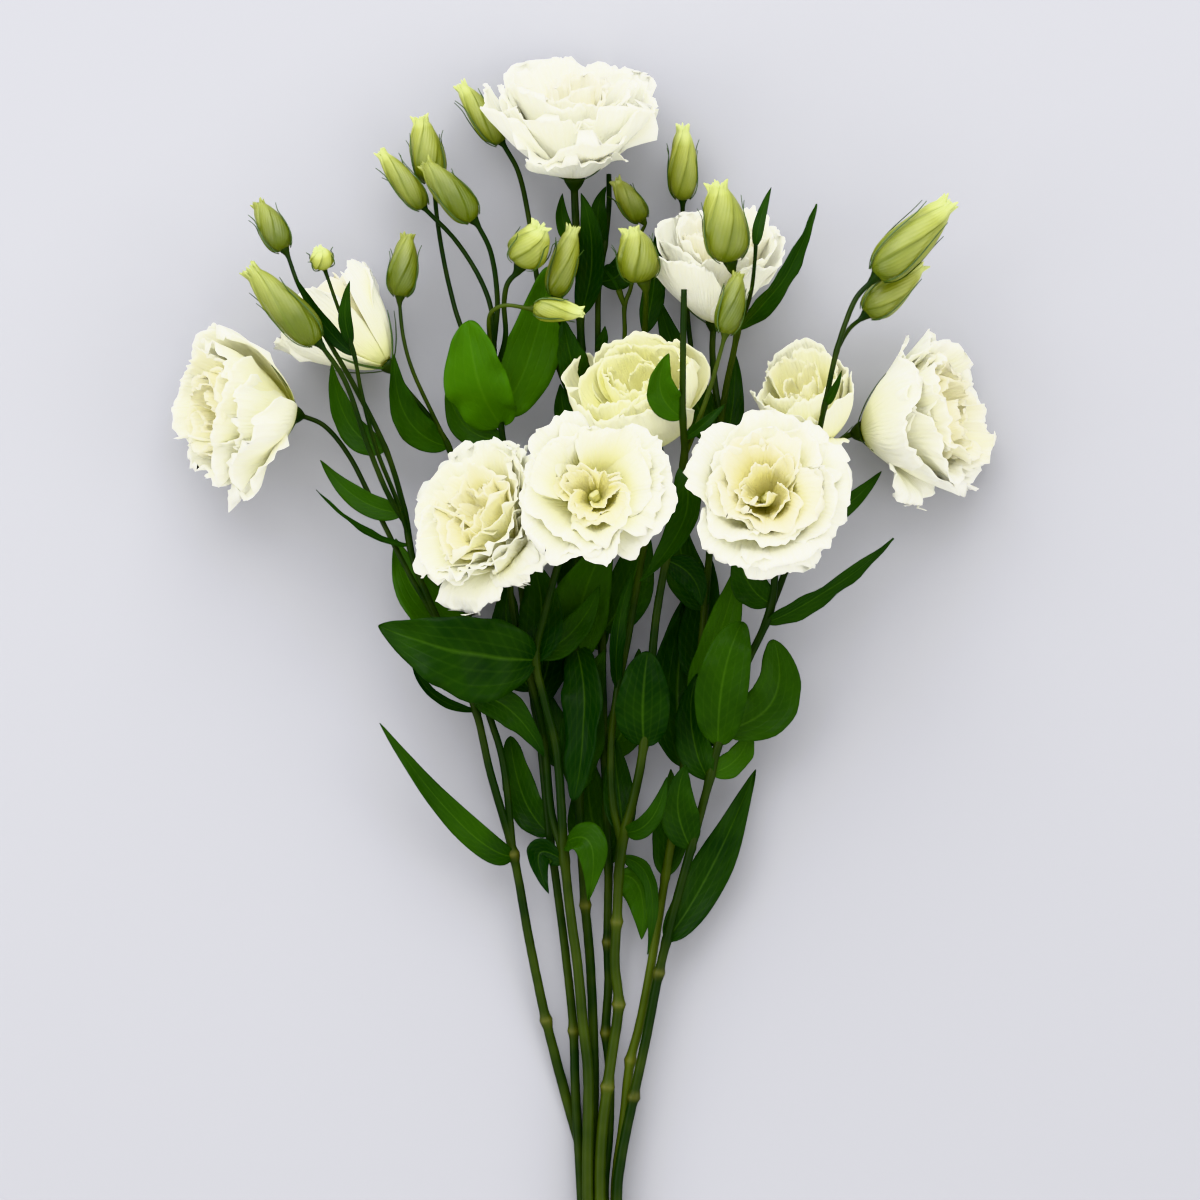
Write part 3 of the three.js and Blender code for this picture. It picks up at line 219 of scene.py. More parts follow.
LEAVES = [
    ("s1", 240, (-63, 240, 40), (-111, 308, 38), 15, 8),
    ("s1", 314, (-93, 317, 34), (-96, 348.5, 38), 6, 30),
    ("s1", 322, (-43, 322, 40), (-28, 291, 33), 18, 12),
    ("s1", 397.5, (-117.5, 397.5, 46), (-142.5, 425.5, 46), 6, 60),
    ("s1", 414, (-122, 414, 40), (-141, 440.5, 36), 12, 0),
    ("s1", 445.5, (-131, 450, 40), (-135, 489, 45), 15, -12),
    ("s1_b7", 492, (-138.5, 504, 64), (-151, 530, 80), 7.5, 0),
    ("s1_b7", 497, (-129.5, 511, 80), (-124, 528.5, 84), 7, 0),
    ("s1_right", 350, (-97.5, 365, 30), (-103.5, 401, 22), 24, 12),
    ("s1_right", 342.5, (-80, 370, 2), (-82, 400, 12), 16, -12),
    ("s1_right", 447.5, (-104, 452.5, 42), (-103, 493, 56), 17, 12),
    ("s2", 251, (-42.5, 265, 10), (-45.5, 301, 19), 19, -12),
    ("s2", 324, (-51, 344, 24), (-46, 380, 20), 25, -24),
    ("s2", 316, (-20.9, 347.8, -2), (-26, 377.5, 21), 21, 24),
    ("s2", 394, (-63.3, 411.9, 12), (-61, 442.5, 18), 21, -12),
    ("s2", 386, (-32, 410, 6), (-30, 445, 6), 16, 24),
    ("s2", 450, (-74, 452.5, 20), (-77.5, 479, 22), 16, 0),
    ("s2", 458, (-64, 474, 60), (-66, 510, 52), 33, -12),
    ("s2", 464, (-35, 482.5, 34), (-24.5, 538.5, 31), 30, 12),
    ("s3", 238, (-40, 252.5, 14), (-26, 222, 34), 15, 0),
    ("s3", 247, (3, 261, 52), (-6, 218.5, 34), 19, 0),
    ("s3", 340, (-69, 340, 80), (-111, 357, 58), 45, -12),
    ("s3", 339, (-25.2, 362.9, 46), (-34, 391, 25), 24, -12),
    ("s3", 342, (-10, 350, 24), (0, 377.5, 50), 16, 0),
    ("s4", 272.5, (-14, 310, 30), (2, 345, 22), 24, 24),
    ("s4", 340, (-14, 372, 32), (7, 404, 39), 30, 0),
    ("s4", 346, (-3, 322, 44), (-13, 269, 34), 22, 24),
    ("s4", 284, (-26, 302, -6), (-30, 328, 12), 22, -12),
    ("s4", 400, (-27.2, 425, 12), (-22, 455, 16), 18, 0),
    ("s4", 469, (-15, 489, 56), (-19, 511, 44), 18, 24),
    ("s4", 450, (-20, 460, 30), (-20, 479, 32), 12, 0),
    ("s4", 514, (2, 545, 44), (-9.5, 574.5, 46), 15, -12),
    ("s4", 547.5, (-22, 559.7, 16), (-19, 576, 20), 8, 0),
    ("s5", 253, (28, 252.4, 52), (33.5, 281, 49), 11, 0),
    ("s5", 240, (33.8, 237.9, 26), (24, 191, 30), 10, 30),
    ("s5", 231, (25, 232, 16), (21, 198, 20), 20, 0),
    ("s5", 252, (9, 272, 14), (7, 302, 21), 17, 0),
    ("s5", 297.5, (20, 320, 60), (24, 344, 58), 28, 0),
    ("s5_left", 325, (5, 355, 54), (17.5, 386.5, 46), 9, 30),
    ("s5", 390, (50, 385, 44), (51, 367, 46), 15, 0),
    ("s5", 437, (52, 410, 88), (19.5, 379, 76), 16, 24),
    ("s5", 460, (22.5, 471.6, 96), (34, 491.5, 100), 17, 12),
    ("s5", 450, (53, 457.5, 92), (62, 467, 84), 6, 0),
    ("s6", 235, (-8, 257, -8), (-6, 294, 14), 26, 0),
    ("s6", 290, (21.8, 314.9, -4), (20, 345, 10), 24, 24),
    ("s6", 354, (20, 375, 36), (22.5, 410, 14), 25, 0),
    ("s6", 345, (-15, 375, -2), (-15, 410, 8), 22, -12),
    ("s6", 531, (16, 532.2, 12), (11, 551, 18), 16, 0),
    ("s6", 550, (-5, 565, 34), (3, 579, 26), 9, 12),
    ("s6", 495, (2, 501, 24), (2.5, 508.5, 26), 6, 0),
    ("s6_stub", 526, (5, 536, 37), (-3.5, 541.5, 38), 1.6, 0),
    ("s6_b14", 505, (29, 530, 24), (28.5, 556.5, 22), 12, 12),
    ("s7", 230, (37, 252, 12), (36, 284, 12), 18, 0),
    ("s7", 286, (34, 325, 14), (46, 377, 11), 31, 12),
    ("s7", 295, (72.3, 316.1, 22), (67.5, 342.5, 16), 22, -12),
    ("s7", 316.5, (62.1, 352.8, 32), (70, 388.5, 38), 20, 12),
    ("s7", 328, (50, 352, 10), (57, 390, 12), 24, 0),
    ("s7", 365, (38, 385, 22), (40, 420, 16), 20, -12),
    ("s7", 435, (69, 460, 22), (68.5, 495, 18), 15, 0),
    ("s7", 450, (45, 470, 18), (28.5, 525, 22), 20, 0),
    ("s7", 505, (95, 525, 106), (107.5, 567, 75), 13, 40),
    ("s7_top", 546, (78.5, 559, 76), (85.5, 576, 62), 6, 0),
    ("s8", 197.5, (56, 226, 14), (79, 284, 16), 22, 0),
    ("s8", 244.5, (33.5, 266.6, 44), (43.5, 287, 46), 20, 12),
    ("s8", 282.5, (74, 287.5, 28), (76, 306, 35), 14, 12),
    ("s8", 279, (40.5, 304.6, 34), (49, 333, 35), 20, -24),
    ("s8", 297, (58, 335, 78), (71, 359, 60), 27, 0),
    ("s8", 304, (100, 312.5, 32), (87.5, 350, 42), 28, 12),
    ("s8", 359, (110, 368, 60), (147.5, 401, 46), 14, 45),
    ("s8", 368, (70, 376, 50), (70, 398, 54), 19, -12),
    ("s8_right", 404, (125, 414, 30), (142, 435, 32), 11, 0),
    ("s8_b17", 467, (116, 472, 82), (120, 484, 84), 4.5, 0),
]
JOINTS = [
    ("s1", 156), ("s1", 241), ("s2", 151), ("s4", 215), ("s5", 123), ("s5", 165),
    ("s5", 207), ("s6", 150), ("s6", 196), ("s7", 136), ("s8", 118), ("s8", 181),
]
print("blooms:", len(BLOOMS), "buds:", len(BUDS), "leaves:", len(LEAVES))

# %% [markdown]
# ## Curves through points
# A stalk is a soft curve through its listed points. Blender's own curve objects could do it, but the leaves
# and side stalks have to find their place on it, so it is worked out here: a Catmull-Rom curve, spaced by the
# square root of each step, which never loops or overshoots between close points.

# %% Soft curve
def soft_curve(knots, step):
    """Points about one step apart, on a soft curve through the knots."""
    pts = [Vector(k) for k in knots]
    pts = [2 * pts[0] - pts[1], *pts, 2 * pts[-1] - pts[-2]]
    out = []
    for a, b, c, d in zip(pts, pts[1:], pts[2:], pts[3:]):
        before, here, after = [max(q.length, 1e-6) ** 0.5 for q in (b - a, c - b, d - c)]
        leave = ((b - a) / before - (c - a) / (before + here) + (c - b) / here) * here
        reach = ((c - b) / here - (d - b) / (here + after) + (d - c) / after) * here
        count = max(2, math.ceil((c - b).length / step))
        for k in range(count):
            t = k / count
            out.append(b * (2 * t**3 - 3 * t**2 + 1) + leave * (t**3 - 2 * t**2 + t)
                       + c * (3 * t**2 - 2 * t**3) + reach * (t**3 - t**2))
    return [*out, pts[-2]]


def pick(points, t):
    """The place a share t of the way along a list of points, between the two nearest."""
    x = min(max(t, 0), 1) * (len(points) - 1)
    k = min(int(x), len(points) - 2)
    return points[k].lerp(points[k + 1], x - k)


print("a curve through three points:", len(soft_curve([(0, 0, 0), (10, 0, 0), (10, 10, 0)], 2)), "points")

# %% [markdown]
# ## Sheets
# Nearly everything on a plant is a thin sheet: petals, sepals and leaves lie flat in the bud and unroll.
# So each of them starts as Blender's grid, and every corner is moved by a formula of how far across (u) and
# how far along (v) the sheet it lies. The grid brings a UV map with it, so a material knows u and v as well.
# A stalk and a bud are rolled sheets, whose two long sides are merged.

# %% Making a sheet
MERGE = 1e-4  # millimetres between corners that become one


def new_mesh(*marks):
    """An empty bmesh with a UV map and one named number for each corner in marks."""
    bm = bmesh.new()
    bm.loops.layers.uv.new("UVMap")
    for mark in marks:
        bm.verts.layers.float.new(mark)
    return bm


def sheet(bm, across, along, place, rolled=False, **marks):
    """A grid of quads whose corners go to place(u, v), with u and v from 0 to 1, and carry the marks."""
    made = bmesh.ops.create_grid(bm, x_segments=across, y_segments=along, size=0.5, calc_uvs=True)["verts"]
    layers = [(bm.verts.layers.float[name], value) for name, value in marks.items()]
    for vert in made:
        vert.co = place(vert.co.x + 0.5, vert.co.y + 0.5)
        for layer, value in layers:
            vert[layer] = value
    if rolled:
        bmesh.ops.remove_doubles(bm, verts=made, dist=MERGE)
    return made


def finish_piece(bm, name, material, node=None, thick=0.0, back=None):
    """Moves a drawing in millimetres to its place in the scene, and makes it a piece riding on the part."""
    bmesh.ops.translate(bm, verts=bm.verts, vec=LIE)
    bmesh.ops.scale(bm, verts=bm.verts, vec=(MM, MM, MM))
    for face in bm.faces:
        face.smooth = True
    mesh = bpy.data.meshes.new(name)
    bm.to_mesh(mesh)
    bm.free()
    piece = bpy.data.objects.new(name, mesh)
    bpy.context.scene.collection.objects.link(piece)
    mesh.materials.append(material)
    if back:
        mesh.materials.append(back)
    if thick:
        skin = piece.modifiers.new("thickness", "SOLIDIFY")
        skin.thickness = thick * MM
        skin.offset = 0
        skin.use_even_offset = False
        skin.material_offset = 1 if back else 0
    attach(piece, "root")
    if node:
        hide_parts(node)
    return piece


test = new_mesh("sun")
sheet(test, 6, 4, lambda u, v: Vector((u, v, 0)), sun=0.5)
print("a test sheet:", len(test.faces), "faces")
test.free()

# %% [markdown]
# ## Shader maths in plain words
# A material that varies over a surface needs sums, and a node for every plus and minus is hard to read. This
# small class wraps one number on a node's output, so that an expression in Python adds the Math nodes. Every
# other node comes from one method, which takes the node's type, its settings and what goes into its sockets.

# %% A paint box for node materials
class Number:
    """One number that a node gives. Sums with it add Math nodes to its material."""

    def __init__(self, paint, socket):
        self.paint = paint
        self.socket = socket

    def math(self, operation, *others):
        return self.paint.node("ShaderNodeMath", {"operation": operation}, dict(enumerate((self, *others))))

    def __add__(self, other):
        return self.math("ADD", other)

    def __sub__(self, other):
        return self.math("SUBTRACT", other)

    def __rsub__(self, other):
        return self.paint.node("ShaderNodeMath", {"operation": "SUBTRACT"}, {0: other, 1: self})

    def __mul__(self, other):
        return self.math("MULTIPLY", other)

    def __truediv__(self, other):
        return self.math("DIVIDE", other)

    def __pow__(self, other):
        return self.math("POWER", other)

    __radd__ = __add__
    __rmul__ = __mul__

    def clamp(self):
        return self.paint.node("ShaderNodeClamp", {}, {0: self})

    def line(self, middle, half):
        """1 where this number is at the middle, falling to 0 half away from it."""
        return (1 - (self - middle).math("ABSOLUTE") / half).clamp()


class Paint:
    """A node material on one Principled shader."""

    def __init__(self, name, **constants):
        self.material = bpy.data.materials.new(name)
        self.material.use_nodes = True
        self.tree = self.material.node_tree
        self.shader = self.tree.nodes["Principled BSDF"]
        for socket, value in constants.items():
            self.shader.inputs[socket.replace("_", " ")].default_value = value

    def node(self, kind, settings, sockets, out=0):
        made = self.tree.nodes.new(kind)
        for key, value in settings.items():
            setattr(made, key, value)
        for key, value in sockets.items():
            self.plug(value, made.inputs[key])
        return Number(self, made.outputs[out])

    def plug(self, value, socket):
        if isinstance(value, Number):
            self.tree.links.new(value.socket, socket)
        elif isinstance(value, tuple) and len(value) == 3 and socket.type == "RGBA":
            socket.default_value = (*value, 1)
        else:
            socket.default_value = value

    def feed(self, socket, value):
        self.plug(value, self.shader.inputs[socket])

    def uv_map(self):
        return self.node("ShaderNodeUVMap", {"uv_map": "UVMap"}, {})

    def uv(self):
        """How far across and how far along its sheet a point lies."""
        parts = self.node("ShaderNodeSeparateXYZ", {}, {0: self.uv_map()})
        return parts, Number(self, parts.socket.node.outputs[1])

    def mark(self, name):
        """A named number that the corners of the sheet carry."""
        return self.node("ShaderNodeAttribute", {"attribute_name": name}, {}, out="Fac")

    def noise(self, scale, detail, stretch=None, vector=None):
        """Soft cloudy noise in object space, or over a vector, from 0 to 1."""
        place = vector or self.node("ShaderNodeTexCoord", {}, {}, out="Object")
        if stretch:
            place = self.node("ShaderNodeMapping", {}, {"Vector": place, "Scale": stretch})
        return self.node("ShaderNodeTexNoise", {}, {"Vector": place, "Scale": scale, "Detail": detail})

    def mix(self, share, first, second):
        return self.node("ShaderNodeMix", {"data_type": "RGBA"}, {0: share, 6: first, 7: second}, out=2)

    def bump(self, height, strength, distance):
        sockets = {"Height": height, "Strength": strength, "Distance": distance}
        self.feed("Normal", self.node("ShaderNodeBump", {}, sockets))


print("paint box ready")

# %% [markdown]
# ## Petals, as a finish
# A lisianthus petal is thin, matt and a little see-through. It is white at its margin, turns cream down the
# blade and yellow-green at its foot, and the petals in the heart of the bloom are a deeper cream. That cream
# is partly the petals' own colour and partly a painted warm glow deep in the bloom, and the deeper cream of
# the heart is partly painted shade in its hollow. The UV map gives how far up the petal a point lies, and
# two numbers on each corner give how near the heart the petal grows and how green the whole bloom still is;
# the second is also painted light and shade that makes some blooms whiter and others creamier and darker.
# Fine veins and soft creases run up from the foot, and the creases are painted a little darker as painted
# shade. Only a quarter of the light goes through the surface here: with more of it such thin sheets turn
# grey.

# %% Petal finish
PETAL_WHITE = (0.93, 0.93, 0.85)
PETAL_CREAM = (0.90, 0.89, 0.47)
PETAL_GREEN = (0.64, 0.68, 0.16)
# The deeper cream of the heart petals is partly their own colour and partly painted shade in the hollow
# heart.
PETAL_HEART_CREAM_AND_SHADE = (0.74, 0.64, 0.32)
PETAL_GLOW = (1.0, 0.95, 0.6)  # how far red, green and blue light go through, as shares of 3 mm


def petal_paint():
    paint = Paint("petal_white", Roughness=0.55, Subsurface_Weight=0.25, Subsurface_Scale=0.003,
                  Subsurface_Radius=PETAL_GLOW)
    across, along = paint.uv()
    # Of these two marks the second is partly how green the bloom is and partly painted light and shade: it
    # makes some blooms whiter and others creamier and darker.
    inner, young = paint.mark("inner"), paint.mark("young")
    cloud = paint.noise(70, 3)
    # Painted light: the cream towards the foot and in the heart is partly the petals' own colour and partly a
    # painted warm glow deep in the bloom.
    cream_and_glow = ((1 - along) * (1.0 + inner) + inner * 0.3 + young * 0.5 + cloud * 0.3 - 0.35).clamp()
    green = ((0.46 - along) * 2.4 + young * 0.4 - inner * 0.4 - 0.22).clamp()
    veins = (across * 150 + cloud * 5).math("SINE") * 0.5 + 0.5
    # Painted shade: the petals of the heart are painted a deeper ochre cream, partly their own colour and
    # partly the shade in the hollow heart.
    heart = ((inner - 0.25) * (1.35 - along * 0.5) - young.math("ABSOLUTE") * 0.5).clamp()
    shade = paint.mix(cream_and_glow, PETAL_WHITE, PETAL_CREAM)
    shade = paint.mix(heart * 0.55, shade, PETAL_HEART_CREAM_AND_SHADE)
    shade = paint.mix(green, shade, PETAL_GREEN)
    creases = paint.noise(1.0, 3, (34, 5, 1), paint.uv_map())
    # Fine veins in the petals' own colour, and painted shade along the soft creases.
    veins_and_crease_shade = (veins * (1.2 - along) * 0.07 + creases * 0.25 - 0.06).clamp()
    paint.feed("Base Color", paint.mix(veins_and_crease_shade, shade, PETAL_CREAM))
    paint.bump(veins * 0.3 + creases * 2 + cloud, 0.5, 0.0008)
    return paint.material


petal_white = petal_paint()
print("made", petal_white.name)

# %% [markdown]
# ## Leaves, as a finish
# The leaves are waxy, dark to bright green above and paler below. A lisianthus leaf has a pale midrib and a
# few main veins that curve from the foot to the tip beside it. The grid of a leaf narrows to its tip, so a
# line of equal u is such a vein, and finer ones cross between them. The number called sun is painted light
# and shade: it makes the leaves at the top and outside bright, as if lit, and those inside the bunch dark,
# as if in shade.

# %% Leaf finishes
LEAF_TOP = {"dark": (0.002, 0.014, 0.001), "bright": (0.043, 0.140, 0.002), "rib": (0.10, 0.22, 0.03)}
LEAF_UNDER = {"dark": (0.017, 0.042, 0.007), "bright": (0.070, 0.145, 0.016), "rib": (0.12, 0.20, 0.05)}


def leaf_paint(name, rough, dark, bright, rib):
    paint = Paint(name, Roughness=rough, Specular_IOR_Level=0.13)
    across, along = paint.uv()
    off = (across * 2 - 1).math("ABSOLUTE")
    cloud = paint.noise(26, 3)
    midrib = off.line(0.0, 0.075)
    nerves = off.line(0.34, 0.05) + off.line(0.66, 0.04)
    fine = ((along * 95 - off * 16 + cloud * 6).math("SINE") * 0.5 + 0.5) ** 4
    # Painted light and shade: the sun mark mixes each leaf from dark green, as if shaded, to bright green, as
    # if lit.
    green = paint.mix((paint.mark("sun") + cloud * 0.5 - 0.25).clamp(), dark, bright)
    lines = (midrib * 0.24 + nerves * 0.05 + fine * 0.03) * (1 - along * 0.6)
    paint.feed("Base Color", paint.mix(lines.clamp(), green, rib))
    paint.bump(cloud * 0.8 - midrib * 0.7 - nerves * 0.3 - fine * 0.12, 0.35, 0.0008)
    return paint.material


leaf_top = leaf_paint("leaf_top", 0.38, **LEAF_TOP)
leaf_under = leaf_paint("leaf_under", 0.5, **LEAF_UNDER)
print("made", leaf_top.name, "and", leaf_under.name)

# %% [markdown]
# ## Stalks, sepals and buds, as finishes
# Stalks are smooth and green with fine lengthwise stripes, and an olive ring at each swollen joint. The
# number called sun makes them lighter: partly painted light where they are lit, partly the paler green of
# the young bud stalks, and it dims them higher up as painted shade under the leaves. Sepals are thin dark
# blades with a paler keel. A bud is yellow-green, painted olive in the furrows between its furled petals as
# painted shade, and brightest at the small star of its tip.

# %% Stalk finish
STALK_DARK, STALK_LIT = (0.004, 0.015, 0.001), (0.085, 0.120, 0.018)
STALK_SCAR = (0.14, 0.14, 0.04)
STALK_CUT = (0.30, 0.36, 0.15)
CUT_SHARE = 0.0036  # the cut face's part of a stalk's length


def stalk_paint():
    paint = Paint("stalk", Roughness=0.42, Specular_IOR_Level=0.2)
    _, along = paint.uv()
    streak = paint.noise(1.0, 2, (40, 40, 5))
    cloud = paint.noise(60, 3)
    # Painted light and shade: the sun mark makes a stalk lighter where it is lit and darker where leaves
    # shade it, and on the young bud stalks it is partly their own paler green.
    lit = (paint.mark("sun") + streak * 0.7 - 0.35).clamp()
    green = paint.mix(lit, STALK_DARK, STALK_LIT)
    scar = (paint.mark("scar") * (0.4 + cloud)).clamp()
    green = paint.mix(scar * 0.5, green, STALK_SCAR)
    cut = ((CUT_SHARE - along) * 900).clamp()
    paint.feed("Base Color", paint.mix(cut, green, STALK_CUT))
    paint.bump(streak + cloud * 0.5, 0.3, 0.0005)
    return paint.material


stalk_green = stalk_paint()
print("made", stalk_green.name)

# %% Sepal finish
SEPAL_DARK, SEPAL_LIT = (0.014, 0.042, 0.006), (0.045, 0.095, 0.014)
SEPAL_KEEL = (0.09, 0.15, 0.04)


def sepal_paint():
    paint = Paint("sepal", Roughness=0.45)
    across, along = paint.uv()
    keel = (across * 2 - 1).math("ABSOLUTE").line(0.0, 0.3)
    green = paint.mix(paint.noise(45, 2), SEPAL_DARK, SEPAL_LIT)
    paint.feed("Base Color", paint.mix(keel * 0.35 + (1 - along) * 0.18, green, SEPAL_KEEL))
    paint.bump(keel, 0.3, 0.0004)
    return paint.material


sepal_green = sepal_paint()
print("made", sepal_green.name)

# %% Bud finish
BUD_RIDGES = 5
BUD_TWIST = 190 / 360  # turns from foot to tip
BUD_GREEN, BUD_RIPE = (0.075, 0.102, 0.006), (0.40, 0.43, 0.088)
BUD_STAR = (0.60, 0.67, 0.27)
# The furrow colour is painted shade between the furled petals.
BUD_FURROW_SHADE = (0.085, 0.125, 0.010)
BUD_GLOW = (0.9, 1.0, 0.3)
KEEP_ABOVE = 10  # whole turns, added before a fraction is taken so that it never starts below 0


def bud_paint():
    paint = Paint("bud", Roughness=0.42, Subsurface_Weight=0.12, Subsurface_Scale=0.003,
                  Subsurface_Radius=BUD_GLOW)
    across, along = paint.uv()
    pale = paint.mark("pale")
    fold = ((across - along * BUD_TWIST) * BUD_RIDGES + KEEP_ABOVE).math("FRACT")
    # Painted shade: the furrows between the furled petals are painted a darker olive.
    furrow_shade = (1 - fold) ** 6 * (1 - along * 0.55)
    cloud = paint.noise(55, 3)
    veins = ((fold * 40 + cloud * 3).math("SINE") * 0.5 + 0.5) * 0.1
    # Darker olive towards the foot and lighter towards the tip, and paler on the buds marked pale.
    ripe = ((along - 0.40) * 1.3 + pale * 0.5 + cloud * 0.5 - 0.3).clamp()
    green = paint.mix(ripe, BUD_GREEN, BUD_RIPE)
    tip = ((along - 0.80 + pale * 0.2) * 5).clamp()
    green = paint.mix(tip, green, BUD_STAR)
    paint.feed("Base Color", paint.mix((furrow_shade * 0.65 + veins).clamp(), green, BUD_FURROW_SHADE))
    paint.bump(veins * 4 + cloud * 0.6, 0.3, 0.0006)
    return paint.material


bud_green = bud_paint()
print("made", bud_green.name)

# %% [markdown]
# ## The paths of the stalks
# Each shoot gets its soft curve and, at every point, its radius. A stalk tapers, swells at each bare joint,
# and swells a little where a leaf or a side stalk leaves it, because those grow from joints too. A side
# stalk starts inside the one it forks from, so there is no seam to see.

# %% Paths and radii
STEP = 2.4  # millimetres between the rings of a stalk
# How lit each stalk is painted, as painted light and shade, and for the young bud stalks partly their own
# paler green.
PLAIN_SUN = 0.08
SUNNY_STALKS = {  # how bright each is, where that isn't the plain value
    "stem_1": 0.12, "stem_3": 0.2, "stem_5": 0.24, "stem_4": 0.1, "s8": 0.05, "s7": 0.5, "s2_b11": 1.3,
    "s6_b12": 0.9, "s6_b14": 1.0, "s6_stub": 1.0, "s5_b16": 0.8, "s1_b8": 0.5,
}
JOINT_SWELL = 0.42  # how much thicker a stalk is at a joint, as a share
LEAF_SWELL = 0.18
MOST_SWELL = 1.2  # where several leaves and side stalks grow close together
JOINT_HALF = 2.2  # millimetres
LEAF_HALF = 3.0
shoots = {}


def spot_on(name, y):
    """The place on a shoot that lies a given distance up the bunch."""
    path = shoots[name]["path"]
    for a, b in zip(path, path[1:]):
        if (a.y - y) * (b.y - y) <= 0 and a.y != b.y:
            return a.lerp(b, (y - a.y) / (b.y - a.y))
    return path[-1]


def swelling(place, heights, half):
    """A soft bulge at each of some heights, 1 at its middle and most of it within half."""
    return sum(math.exp(-((place.y - y) / half) ** 2) for y in heights)


for name, parent, fork, foot_radius, tip_radius, points in SHOOTS:
    node = "stem_" + name[1]
    knots = points if parent is None else [spot_on(parent, fork), *points]
    path = soft_curve(knots, STEP)
    joints = [y for shoot, y in JOINTS if shoot == name]
    leafy = [row[1] for row in LEAVES if row[0] == name] + [row[2] for row in SHOOTS if row[1] == name]
    radii = []
    for k, p in enumerate(path):
        swell = JOINT_SWELL * swelling(p, joints, JOINT_HALF)
        swell += LEAF_SWELL * min(swelling(p, leafy, LEAF_HALF), MOST_SWELL)
        radii.append((foot_radius + (tip_radius - foot_radius) * k / (len(path) - 1)) * (1 + swell))
    sun = SUNNY_STALKS.get(name, SUNNY_STALKS.get(node, PLAIN_SUN))
    shoots[name] = {"node": node, "path": path, "radii": radii, "joints": joints, "sun": sun}
print("rings in all:", sum(len(s["path"]) for s in shoots.values()))

# %% [markdown]
# ## Where flowers sit
# A flower is made upright about its own axis and turned into place, so it needs three directions: along its
# axis, and two across it. The foot of the flower sits just above a small green cup, the calyx, at the end
# of its stalk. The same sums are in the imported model, so both put every flower in the same place.

# %% Seats
BLOOM_CUP = 0.13  # radius of the calyx, a share of the bloom's
BUD_CUP = 0.55
SEAT_GAP = 0.3  # millimetres between a flower and its calyx
BUD_SPIN = 20  # degrees that a bud is turned, for each millimetre of its radius
NEAR_UP = 0.2  # sine of the angle to straight up, under which an axis needs another way across
seats = {}


def directions(axis, spin):
    """Two directions across an axis, turned about it by spin degrees."""
    across = Vector((0, 0, 1)).cross(axis)
    if across.length < NEAR_UP:
        across = Vector((1, 0, 0)) - axis * axis.x
    across.normalize()
    side = across * math.cos(math.radians(spin)) + axis.cross(across) * math.sin(math.radians(spin))
    return side, axis.cross(side)


def seat_flower(name, shoot, axis, cup, spin, **facts):
    foot = shoots[shoot]["path"][-1] + axis * cup
    x, y = directions(axis, spin)
    seats[name] = {"shoot": shoot, "axis": axis, "spin": spin, "cup": cup, "seat": foot, "x": x, "y": y,
                   **facts}
    shoots[shoot]["flower"] = name


for name, shoot, facing, radius, depth, opened, spin in BLOOMS:
    seat_flower(name, shoot, Vector(facing).normalized(), BLOOM_CUP * radius, spin,
                radius=radius, depth=depth, opened=opened)
for name, shoot, tip, radius in BUDS:
    way = Vector(tip) - shoots[shoot]["path"][-1]
    seat_flower(name, shoot, way.normalized(), BUD_CUP * radius, BUD_SPIN * radius,
                radius=radius, depth=way.length - BUD_CUP * radius - SEAT_GAP)


def around(flower, turn, r, h):
    """A place about a flower's axis: turned by an angle, r out from the axis, h up from its seat."""
    out = flower["x"] * math.cos(turn) + flower["y"] * math.sin(turn)
    return flower["seat"] + flower["axis"] * h + out * r


print("flowers seated:", len(seats))

# %% [markdown]
# ## Stalks
# A tube could be a Blender curve with a bevel, but the calyx, the swollen joints and the cut end are all
# changes of radius, and a rolled sheet takes them in one go. The direction across the tube is carried from
# ring to ring, so the sheet never twists. At a flower the last rings open into the calyx cup.

# %% One stalk
STALK_SIDES = 12
CAP = 0.01  # how far an end is closed beyond its last ring, a share of a step
ROUGH = 0.05  # how uneven a stalk's radius is, a share
SCAR_HALF = 1.8  # millimetres
SHADE_TOP, SHADE_FADE = 275, 60  # how far up leaves shade the stalks in full, and over what length it comes
SUN_LEFT = 0.3  # the share of its brightness that a shaded stalk keeps
# Rings of the calyx: how far up and how wide, shares of its radius.
CUP_RINGS = [(0.0, 0.62), (0.30, 0.80), (0.62, 0.95), (1.0, 1.0), (1.06, 0.86), (0.98, 0.0)]
BUD_RINGS = [(0.0, 0.34), (0.25, 0.42), (0.50, 0.55), (0.75, 0.62), (0.90, 0.50), (0.96, 0.0)]


